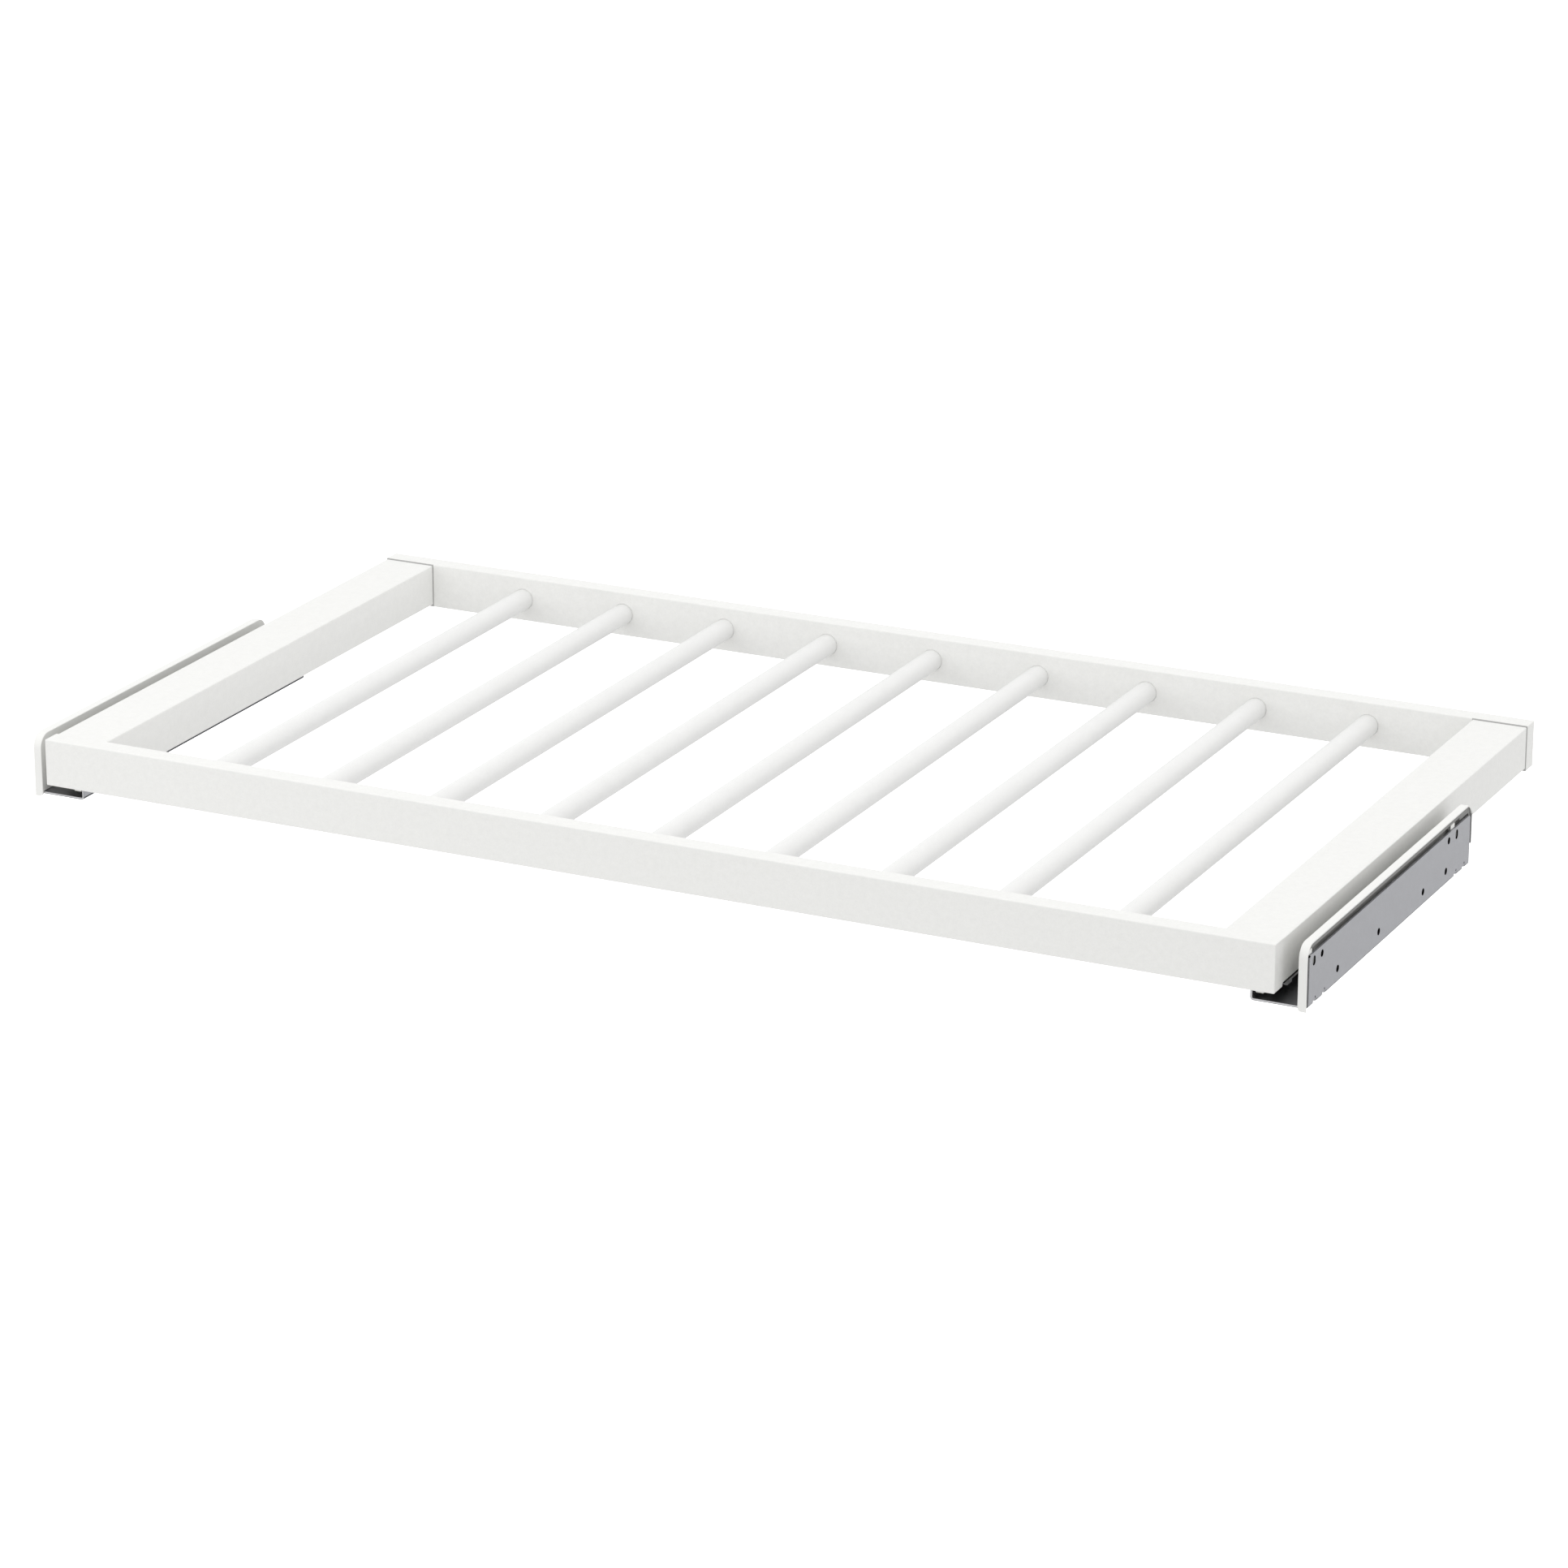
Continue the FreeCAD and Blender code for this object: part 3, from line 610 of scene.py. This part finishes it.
# %% Shaping
SMOOTH_ANGLE = 35                       # degrees: a bend below this is shaded as round
SHARP_ANGLE = math.radians(50)          # an edge above this is broken
EASE_SEGMENTS = 2


def push_out(shift):
    bpy.ops.mesh.extrude_region_move(TRANSFORM_OT_translate={"value": shift})


def step_out(direction, radius, steps, centre):
    """Extrudes the selected round cap step by step, each a length and the radius reached."""
    for length, new_radius in steps:
        push_out(direction * length)
        scale = [1.0 if part else new_radius / radius for part in direction]
        bpy.ops.transform.resize(value=scale, center_override=centre)
        radius = new_radius


def finish_piece(piece, angle=SMOOTH_ANGLE):
    bpy.ops.mesh.select_all(action="SELECT")
    bpy.ops.mesh.normals_make_consistent(inside=False)
    bpy.ops.object.mode_set(mode="OBJECT")
    bpy.ops.object.shade_smooth_by_angle(angle=math.radians(angle))
    return piece


def apply_modifier(piece, kind, **settings):
    deselect_everything()
    modifier = piece.modifiers.new(kind.lower(), kind)
    for name, value in settings.items():
        setattr(modifier, name, value)
    bpy.context.view_layer.objects.active = piece
    bpy.ops.object.modifier_apply(modifier=modifier.name)


def carve(piece, cutter):
    """Cuts the cutter's shape out of the piece, and removes the cutter."""
    apply_modifier(piece, "BOOLEAN", object=cutter, operation="DIFFERENCE", solver="EXACT")
    bpy.data.objects.remove(cutter)


def ease_edges(piece, width):
    """Breaks the sharp edges of a moulded piece, as its mould does."""
    apply_modifier(piece, "BEVEL", width=width, segments=EASE_SEGMENTS, limit_method="ANGLE",
                   angle_limit=SHARP_ANGLE, use_clamp_overlap=True)
    bpy.ops.object.mode_set(mode="EDIT")
    return finish_piece(piece)


# %% [markdown]
# ## Copies and hand-over
# What repeats is modelled once and copied. Linked copies would be lighter, but their place would
# be the object's, and here it has to lie in the mesh, so each copy has a mesh of its own. A
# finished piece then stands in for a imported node: it rides on the node's body, in its finish.

# %% Copies and hand-over


def copy_moved(piece, name, shift):
    """A copy with its own mesh, moved within that mesh."""
    deselect_everything()
    twin = piece.copy()
    twin.data = piece.data.copy()
    twin.name = twin.data.name = name
    bpy.context.scene.collection.objects.link(twin)
    bpy.context.view_layer.objects.active = twin
    twin.select_set(True)
    twin.location = shift
    return place_into_mesh(twin)


def at_four_joints(piece, name, x):
    """The piece of the back right joint, with copies for the three others."""
    pieces = [piece, copy_moved(piece, name, (-2 * x, 0, 0))]
    for behind in pieces[:2]:
        in_front = copy_moved(behind, name, (0, 0, 0))
        in_front.rotation_euler = (0, 0, math.pi)
        pieces.append(place_into_mesh(in_front))
    return pieces


def joined(pieces):
    deselect_everything()
    for piece in pieces:
        piece.select_set(True)
    bpy.context.view_layer.objects.active = pieces[0]
    bpy.ops.object.join()
    return bpy.context.object


def hand_over(piece, name, node, body, slot):
    """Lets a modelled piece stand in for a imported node, in the finish of its slot."""
    piece.name = piece.data.name = name
    piece.data.materials.clear()
    piece.data.materials.append(FINISHES[slot])
    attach(piece, body)
    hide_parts(node)


def corners(node):
    return (Vector(corner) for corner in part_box(node))


def middle_and_size(node):
    low, high = corners(node)
    return (low + high) / 2, high - low


# %% [markdown]
# ## Hanging rods
# The rods are thin steel tube, cut to length, eased at the cut and powder coated. A rod could be
# a curve with a round bevel, but a cylinder brings its two flat ends with it. With 96 sides it
# shows no corners along its edge. The tube is opened by insetting both ends and bridging the two
# inner faces.

# %% Hanging rods
ROD_COUNT = 9
ROD_SIDES = 96
ROD_WALL = 1.0 * MM
ROD_RIM = 0.3 * MM


def make_rod(node):
    middle, size = middle_and_size(node)
    rod = cylinder_at("hanging_rod", size.x / 2, size.y, middle, "Y", ROD_SIDES)
    pick(rod, "faces", lambda place, face: abs(face.normal.y) > STRAIGHT)
    bpy.ops.mesh.inset(thickness=ROD_WALL, use_individual=True)
    bpy.ops.mesh.bridge_edge_loops()

    def in_outer_rim(place, edge):
        at_end = all(abs(abs(v.co.y - middle.y) - size.y / 2) < ABOUT for v in edge.verts)
        from_axis = math.hypot(place.x - middle.x, place.z - middle.z)
        return at_end and from_axis > size.x / 2 - ROD_WALL / 2

    pick(rod, "edges", in_outer_rim)
    bpy.ops.mesh.bevel(offset=ROD_RIM, segments=3)
    return finish_piece(rod)


first_place = middle_and_size("rod_1")[0]
rods = [make_rod("rod_1")]
for number in range(2, ROD_COUNT + 1):
    shift = middle_and_size("rod_%d" % number)[0] - first_place
    rods.append(copy_moved(rods[0], "hanging_rod", shift))
for number, rod in enumerate(rods, start=1):
    hand_over(rod, "hanging_rod_%d" % number, "rod_%d" % number, "frame", "rod_paint")
print(len(rods), "rods of", len(rods[0].data.polygons), "faces")

# %% [markdown]
# ## Rollers
# A runner roller is moulded in nylon: a tread with rounded edges, a dished web with a hub, and a
# short trunnion each side that turns in the cage. It could be turned from a drawn profile. Here a
# short cylinder does, whose two ends are inset and pushed in or out, step by step, because each
# step can be read as one form. The rims are rounded last.

# %% Rollers
ROLLER_RADIUS = 5.5 * MM
ROLLER_SIDES = 48
TREAD_WIDTH = 4.2 * MM
ROLLER_STEPS = ((0.9 * MM, -0.5 * MM), (1.4 * MM, 0.45 * MM))   # dish and hub: inset, then push
TRUNNION_RADIUS = 1.3 * MM
TREAD_ROUNDING = 0.5 * MM
RIM_ROUNDING = 0.12 * MM
RIM_ANGLE = math.radians(60)


def make_roller(node):
    middle, size = middle_and_size(node)
    roller = cylinder_at("roller", ROLLER_RADIUS, TREAD_WIDTH, middle, "X", ROLLER_SIDES)
    for end in (-1, 1):
        pick(roller, "faces", lambda place, face: face.normal.x * end > STRAIGHT)
        radius, level = ROLLER_RADIUS, end * TREAD_WIDTH / 2
        for inset, push in ROLLER_STEPS:
            bpy.ops.mesh.inset(thickness=inset)
            push_out((end * push, 0, 0))
            radius -= inset
            level += end * push
        bpy.ops.mesh.inset(thickness=radius - TRUNNION_RADIUS)
        push_out((end * size.x / 2 - level, 0, 0))

    def is_rim(place, edge):
        return edge.calc_face_angle(0) > RIM_ANGLE

    def is_tread_rim(place, edge):
        from_axis = math.hypot(place.y - middle.y, place.z - middle.z)
        return is_rim(place, edge) and from_axis > ROLLER_RADIUS - ABOUT

    pick(roller, "edges", is_tread_rim)
    bpy.ops.mesh.bevel(offset=TREAD_ROUNDING, segments=4)
    pick(roller, "edges", is_rim)
    bpy.ops.mesh.bevel(offset=RIM_ROUNDING, segments=2)
    return finish_piece(roller)


roller_nodes = ["roller_%s_%d" % (side, number) for side in ("left", "right")
                for number in (1, 2, 3)]
first_place = middle_and_size(roller_nodes[0])[0]
rollers = [make_roller(roller_nodes[0])]
for node in roller_nodes[1:]:
    rollers.append(copy_moved(rollers[0], "roller", middle_and_size(node)[0] - first_place))
for node, roller in zip(roller_nodes, rollers):
    hand_over(roller, "turned_" + node, node, node, "roller_nylon")
print(len(rollers), "rollers of", len(roller.data.polygons), "faces")

# %% [markdown]
# ## Roller cages
# The cage is a ladder of black plastic that keeps the three rollers apart. It could be put
# together from bars, but seams would show where they meet. So it starts as one bar with rounded
# corners. The pockets and the trunnions' bores are cut out of it, and all its edges are broken.

# %% Roller cages
CAGE_CORNER = 2.0 * MM
CAGE_WALL = 0.9 * MM
CAGE_EDGE = 0.12 * MM
POCKET_LENGTH = 12.8 * MM
BORE_RADIUS = 1.38 * MM
BORE_SIDES = 24
PAST = 1.0 * MM                         # how far a cutter runs past the piece that it cuts


def make_cage(node, held_rollers):
    low, high = corners(node)
    cage = block_at("roller_cage", low, high)
    pick(cage, "edges", lambda place, edge: runs_along(edge, 0))
    bpy.ops.mesh.bevel(offset=CAGE_CORNER, segments=6)
    for roller_node in held_rollers:
        place = middle_and_size(roller_node)[0]
        half = POCKET_LENGTH / 2
        carve(cage, block_at("pocket", (low.x + CAGE_WALL, place.y - half, low.z - PAST),
                             (high.x - CAGE_WALL, place.y + half, high.z + PAST)))
        bore_length = high.x - low.x + 2 * PAST
        carve(cage, cylinder_at("bore", BORE_RADIUS, bore_length, place, "X", BORE_SIDES))
    return ease_edges(cage, CAGE_EDGE)


left_cage = make_cage("roller_cage_left", roller_nodes[:3])
shift = middle_and_size("roller_cage_right")[0] - middle_and_size("roller_cage_left")[0]
right_cage = copy_moved(left_cage, "roller_cage", shift)
for side_name, cage in (("left", left_cage), ("right", right_cage)):
    hand_over(cage, "moulded_cage_" + side_name, "roller_cage_" + side_name, "cage_" + side_name,
              "cage_plastic")
print("a cage has", len(cage.data.polygons), "faces")

# %% [markdown]
# ## Nylon guides
# A guide is a slipper that clips over the edge of the drawer member's foot and slides under the
# lip's return. Its section could be drawn and pushed out, but its rounded ends lie across that
# section. So it is a block with rounded ends, into which the groove is cut. Its edges are eased,
# so that it slides on without catching.

# %% Nylon guides
GUIDE_CORNER = 1.0 * MM
GUIDE_EDGE = 0.15 * MM
FOOT_EDGE_X = 446.0 * MM
FOOT_Z = (8.4 * MM, 9.6 * MM)


def make_guide(node, side):
    low, high = corners(node)
    slipper = block_at("guide", low, high)
    pick(slipper, "edges", lambda place, edge: runs_along(edge, 0))
    bpy.ops.mesh.bevel(offset=GUIDE_CORNER, segments=5)
    opening = max(abs(low.x), abs(high.x)) + PAST
    groove_x = sorted((side * FOOT_EDGE_X, side * opening))
    carve(slipper, block_at("groove", (groove_x[0], low.y - PAST, FOOT_Z[0]),
                            (groove_x[1], high.y + PAST, FOOT_Z[1])))
    return ease_edges(slipper, GUIDE_EDGE)


for end_name in ("front", "rear"):
    for side_name, side in (("left", -1), ("right", 1)):
        node = "%s_guide_%s" % (end_name, side_name)
        slipper = make_guide(node, side)
        hand_over(slipper, "moulded_" + node, node, "frame", "guide_nylon")
print("a guide has", len(slipper.data.polygons), "faces")

# %% [markdown]
# ## Screw threads
# A thread is a helical ridge on a core. A bump could fake it, but then the outline would stay
# plain. A circle of three corners is the ridge's section. It is stretched to the thread's height,
# swept by a Screw modifier, and its two open ends are filled. Its base lies inside the core, so
# the two only need to be joined.

# %% Screw threads
THREAD_STEPS = 24
RIDGE_SINK = 0.1 * MM                   # how deep the ridge's base lies inside the core
RIDGE_SHARE = 0.9                       # share of the pitch that the ridge's base takes


def make_thread(start, direction, core, crest, pitch, turns):
    """A helical ridge whose section, a triangle, has its three corners on a small circle."""
    ridge = RIDGE_SHARE * pitch / math.sqrt(3)              # the circle's radius, from the base
    stretch = (crest - core + RIDGE_SINK) / (1.5 * ridge)   # over the triangle's own height
    deselect_everything()
    bpy.ops.mesh.primitive_circle_add(vertices=3, radius=ridge,
                                      location=(crest - ridge * stretch, 0, 0),
                                      rotation=(math.radians(90), math.radians(90), 0))
    thread = bpy.context.object
    thread.scale = (1, stretch, 1)
    place_into_mesh(thread)
    apply_modifier(thread, "SCREW", axis="Z", screw_offset=pitch, iterations=turns,
                   steps=THREAD_STEPS, render_steps=THREAD_STEPS)
    bpy.ops.object.mode_set(mode="EDIT")
    bpy.ops.mesh.select_all(action="SELECT")
    bpy.ops.mesh.fill_holes(sides=3)
    finish_piece(thread)
    thread.rotation_euler = direction.to_track_quat("Z", "Y").to_euler()
    thread.location = start
    return place_into_mesh(thread)


# %% [markdown]
# ## Runner screws
# Three pan-head wood screws hold each drawer member up against its side rail. The head is
# crowned and has a cross recess, whose walls lean in a little as the driver's do. The recess
# could be cut by a Boolean modifier, but its lean is easier to give by hand: the cap is split by
# cuts, and the cross of faces between them is pushed in and made smaller. One screw is modelled
# and copied.

# %% Runner screws
SCREW_PLACES = ((458.2, -205.0), (458.2, -145.0), (456.0, 90.0))       # millimetres
SCREW_SIDES = 48
SCREW_HEAD_RADIUS = 2.8 * MM
SCREW_HEAD_HEIGHT = 1.9 * MM
SCREW_HEAD_CROWN = 0.75 * MM
SCREW_SHANK_RADIUS = 1.45 * MM
SCREW_CORE_RADIUS = 1.05 * MM
SCREW_PLAIN = 1.6 * MM                  # shank without a thread, where it passes the steel
SCREW_POINT = (2.4 * MM, 0.05 * MM)     # length, and radius of its tip
SCREW_PITCH = 1.3 * MM
SCREW_TURNS = 6
RECESS_HALF_LENGTH = 1.5 * MM
RECESS_HALF_WIDTH = 0.35 * MM
RECESS_DEPTH = 1.0 * MM
RECESS_LEAN = 0.75                      # size of the recess's floor against its mouth


def in_cross(place, centre):
    across, along = abs(place.x - centre.x), abs(place.y - centre.y)
    return min(across, along) < RECESS_HALF_WIDTH and max(across, along) < RECESS_HALF_LENGTH


def cut_recess(screw, centre, head_z):
    """Splits the head's cap along the cross, and pushes the cross in."""
    for half in (RECESS_HALF_WIDTH, RECESS_HALF_LENGTH):
        for normal in (Vector((1, 0, 0)), Vector((0, 1, 0))):
            for sign in (-1, 1):
                pick(screw, "faces", lambda place, face: face.normal.z < -STRAIGHT)
                cut = Vector((centre.x, centre.y, head_z)) + normal * half * sign
                bpy.ops.mesh.bisect(plane_co=cut, plane_no=normal)
    pick(screw, "faces", lambda place, face: face.normal.z < -STRAIGHT and in_cross(place, centre))
    push_out((0, 0, RECESS_DEPTH))
    bpy.ops.transform.resize(value=(RECESS_LEAN, RECESS_LEAN, 1.0), center_override=centre)


def make_screw(x, y, head_z, tip_z):
    centre = Vector((x, y, head_z + SCREW_HEAD_HEIGHT / 2))
    screw = cylinder_at("runner_screw", SCREW_HEAD_RADIUS, SCREW_HEAD_HEIGHT, centre, "Z",
                        SCREW_SIDES)
    pick(screw, "faces", lambda place, face: face.normal.z > STRAIGHT)
    core_length = tip_z - head_z - SCREW_HEAD_HEIGHT - SCREW_PLAIN - SCREW_POINT[0]
    step_out(Vector((0, 0, 1)), SCREW_HEAD_RADIUS,
             ((0, SCREW_SHANK_RADIUS), (SCREW_PLAIN, SCREW_SHANK_RADIUS), (0, SCREW_CORE_RADIUS),
              (core_length, SCREW_CORE_RADIUS), SCREW_POINT), centre)
    pick(screw, "edges",
         lambda place, edge: all(abs(v.co.z - head_z) < ABOUT for v in edge.verts))
    bpy.ops.mesh.bevel(offset=SCREW_HEAD_CROWN, segments=5)
    cut_recess(screw, centre, head_z)
    finish_piece(screw)
    thread_start = Vector((x, y, head_z + SCREW_HEAD_HEIGHT + SCREW_PLAIN))
    thread = make_thread(thread_start, Vector((0, 0, 1)), SCREW_CORE_RADIUS, SCREW_SHANK_RADIUS,
                         SCREW_PITCH, SCREW_TURNS)
    return joined([screw, thread])


first_place = Vector((SCREW_PLACES[0][0], SCREW_PLACES[0][1], 0)) * MM
screw_low, screw_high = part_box("runner_screws_right")
first_screw = make_screw(first_place.x, first_place.y, screw_low[2], screw_high[2])
for side_name, side in (("left", -1), ("right", 1)):
    node = "runner_screws_" + side_name
    screws = []
    for x, y in SCREW_PLACES:
        shift = Vector((side * x, y, 0)) * MM - first_place
        screws.append(copy_moved(first_screw, "runner_screw", shift))
    hand_over(joined(screws), "driven_" + node, node, "frame", "fastener_steel")
bpy.data.objects.remove(first_screw)
print("a set of screws has", len(bpy.context.object.data.polygons), "faces")

# %% [markdown]
# ## Dowels
# Beech dowels are pressed with flutes, through which air and glue escape from the hole, and their
# ends are chamfered. Eighteen cuts could make the flutes, but pulling in every second lengthwise
# edge of a cylinder makes them all at once. Each end is then pushed out a little smaller for the
# chamfer.

# %% Dowels
DOWEL_RADIUS = 3.9 * MM
DOWEL_LENGTH = 30.0 * MM
DOWEL_CHAMFER = 0.8 * MM
DOWEL_SIDES = 36
DOWEL_SMOOTH_ANGLE = 20
FLUTE_DEPTH = 0.35 * MM


def make_dowel(middle):
    length = DOWEL_LENGTH - 2 * DOWEL_CHAMFER
    dowel = cylinder_at("dowel", DOWEL_RADIUS, length, middle, "Y", DOWEL_SIDES)
    step = 2 * math.pi / DOWEL_SIDES

    def in_flute(place, edge):
        turn = math.atan2(place.z - middle.z, place.x - middle.x)
        return runs_along(edge, 1) and round(turn / step) % 2 == 0

    pick(dowel, "edges", in_flute)
    share = (DOWEL_RADIUS - FLUTE_DEPTH) / DOWEL_RADIUS
    bpy.ops.transform.resize(value=(share, 1, share), center_override=middle)
    for end in (-1, 1):
        pick(dowel, "faces", lambda place, face: face.normal.y * end > STRAIGHT)
        step_out(Vector((0, end, 0)), DOWEL_RADIUS,
                 ((DOWEL_CHAMFER, DOWEL_RADIUS - DOWEL_CHAMFER),), middle)
    return finish_piece(dowel, DOWEL_SMOOTH_ANGLE)


low, high = corners("frame_dowels")
first_place = Vector((high.x - DOWEL_RADIUS, high.y - DOWEL_LENGTH / 2, (low.z + high.z) / 2))
dowels = [make_dowel(first_place)]
for right, back in ((-1, 1), (1, -1), (-1, -1)):
    place = Vector((right * first_place.x, back * first_place.y, first_place.z))
    dowels.append(copy_moved(dowels[0], "dowel", place - first_place))
hand_over(joined(dowels), "fluted_dowels", "frame_dowels", "frame", "beech")
print("the dowels have", len(bpy.context.object.data.polygons), "faces")

# %% [markdown]
# ## Cam bolts
# A cam bolt is screwed into the end rail up to its collar. Its shank crosses the side rail's
# bore, and a neck and a chamfered head reach into the cam. Its profile could be drawn and spun, but
# a list of lengths and radii is easier to change. The shank comes first, and both ends are
# stepped out of it. A bolt for the front is the back one turned round.

# %% Cam bolts
BOLT_SHANK_RADIUS, BOLT_SHANK_LENGTH = 2.5 * MM, 17.3 * MM
BOLT_SIDES = 32
BOLT_THREAD_LENGTH = 10.8 * MM
BOLT_CORE_RADIUS = 2.1 * MM
BOLT_CREST_RADIUS = 2.85 * MM
BOLT_PITCH = 1.6 * MM
BOLT_TURNS = 5
BOLT_COLLAR_RADIUS = 3.8 * MM
BOLT_COLLAR_THICKNESS = 1.2 * MM
COLLAR_AND_CORE = (                     # each step's length, and the radius that it reaches
    (0, BOLT_COLLAR_RADIUS), (BOLT_COLLAR_THICKNESS, BOLT_COLLAR_RADIUS), (0, BOLT_CORE_RADIUS),
    (10.0 * MM, BOLT_CORE_RADIUS), (0.8 * MM, 1.3 * MM))
NECK_AND_HEAD = (
    (1.5 * MM, 1.7 * MM), (2.5 * MM, 1.7 * MM), (0, 2.7 * MM), (0.5 * MM, 3.3 * MM),
    (2.4 * MM, 3.3 * MM), (0.6 * MM, 2.6 * MM))


def make_cam_bolt(x, z, thread_end_y):
    """A bolt along Y whose thread points to the back."""
    shank_end_y = thread_end_y - BOLT_THREAD_LENGTH - BOLT_COLLAR_THICKNESS
    middle = Vector((x, shank_end_y - BOLT_SHANK_LENGTH / 2, z))
    bolt = cylinder_at("cam_bolt", BOLT_SHANK_RADIUS, BOLT_SHANK_LENGTH, middle, "Y", BOLT_SIDES)
    for end, steps in ((1, COLLAR_AND_CORE), (-1, NECK_AND_HEAD)):
        pick(bolt, "faces", lambda place, face: face.normal.y * end > STRAIGHT
             and (place.y - middle.y) * end > BOLT_SHANK_LENGTH / 2 - ABOUT
             and face.calc_area() > BOLT_SHANK_RADIUS ** 2)
        step_out(Vector((0, end, 0)), BOLT_SHANK_RADIUS, steps, middle)
    finish_piece(bolt)
    thread_start = Vector((x, thread_end_y - BOLT_PITCH, z))
    thread = make_thread(thread_start, Vector((0, -1, 0)), BOLT_CORE_RADIUS, BOLT_CREST_RADIUS,
                         BOLT_PITCH, BOLT_TURNS)
    return joined([bolt, thread])


low, high = corners("cam_bolts")
bolt_x, bolt_z = high.x - BOLT_COLLAR_RADIUS, (low.z + high.z) / 2
bolts = at_four_joints(make_cam_bolt(bolt_x, bolt_z, high.y), "cam_bolt", bolt_x)
hand_over(joined(bolts), "threaded_cam_bolts", "cam_bolts", "frame", "fastener_steel")
print("the cam bolts have", len(bpy.context.object.data.polygons), "faces")

# %% [markdown]
# ## Cams
# A cam is a die-cast drum that pulls the bolt's head in as it turns. It is hollow, its wall is
# open over more than half its round at the bolt's height, and its lower face has a cross recess.
# Insets could hollow a plain drum, but not one with an opening in its side. So the drum is a
# cylinder, and a round chamber, a cut-off disc and two bars are cut out of it.

# %% Cams
CAM_RADIUS = 7.4 * MM
CAM_EDGE = 0.2 * MM
CAM_SIDES, CUTTER_SIDES = 64, 48
CHAMBER_RADIUS, CHAMBER_HEIGHT = 5.4 * MM, 7.2 * MM
CAM_SLOT_HEIGHT = 4.4 * MM
CAM_SLOT_REACH = 3.2 * MM               # how far the slot goes on past the drum's middle
CROSS_LENGTH, CROSS_WIDTH, CROSS_DEPTH = 7.0 * MM, 1.2 * MM, 2.2 * MM


def make_cam(place, low_z, high_z):
    """A drum whose slot opens to the back, where the bolt comes in."""
    drum_middle = Vector((place.x, place.y, (low_z + high_z) / 2))
    drum = cylinder_at("cam", CAM_RADIUS, high_z - low_z, drum_middle, "Z", CAM_SIDES)
    carve(drum, cylinder_at("chamber", CHAMBER_RADIUS, CHAMBER_HEIGHT, place, "Z", CUTTER_SIDES))
    disc = cylinder_at("slot", CAM_RADIUS + PAST, CAM_SLOT_HEIGHT, place, "Z", CUTTER_SIDES)
    bpy.ops.mesh.select_all(action="SELECT")
    bpy.ops.mesh.bisect(plane_co=place - Vector((0, CAM_SLOT_REACH, 0)), plane_no=(0, -1, 0),
                        use_fill=True, clear_outer=True)
    carve(drum, disc)
    base = Vector((place.x, place.y, low_z))
    for size_x, size_y in ((CROSS_LENGTH, CROSS_WIDTH), (CROSS_WIDTH, CROSS_LENGTH)):
        half = Vector((size_x / 2, size_y / 2, 0))
        carve(drum, block_at("cross", base - half - Vector((0, 0, PAST)),
                             base + half + Vector((0, 0, CROSS_DEPTH))))
    return ease_edges(drum, CAM_EDGE)


low, high = corners("cam_nuts")
cam_place = Vector((high.x - CAM_RADIUS, high.y - CAM_RADIUS, bolt_z))
cams = at_four_joints(make_cam(cam_place, low.z, high.z), "cam", cam_place.x)
hand_over(joined(cams), "die_cast_cams", "cam_nuts", "frame", "fastener_steel")
print("the cams have", len(bpy.context.object.data.polygons), "faces")
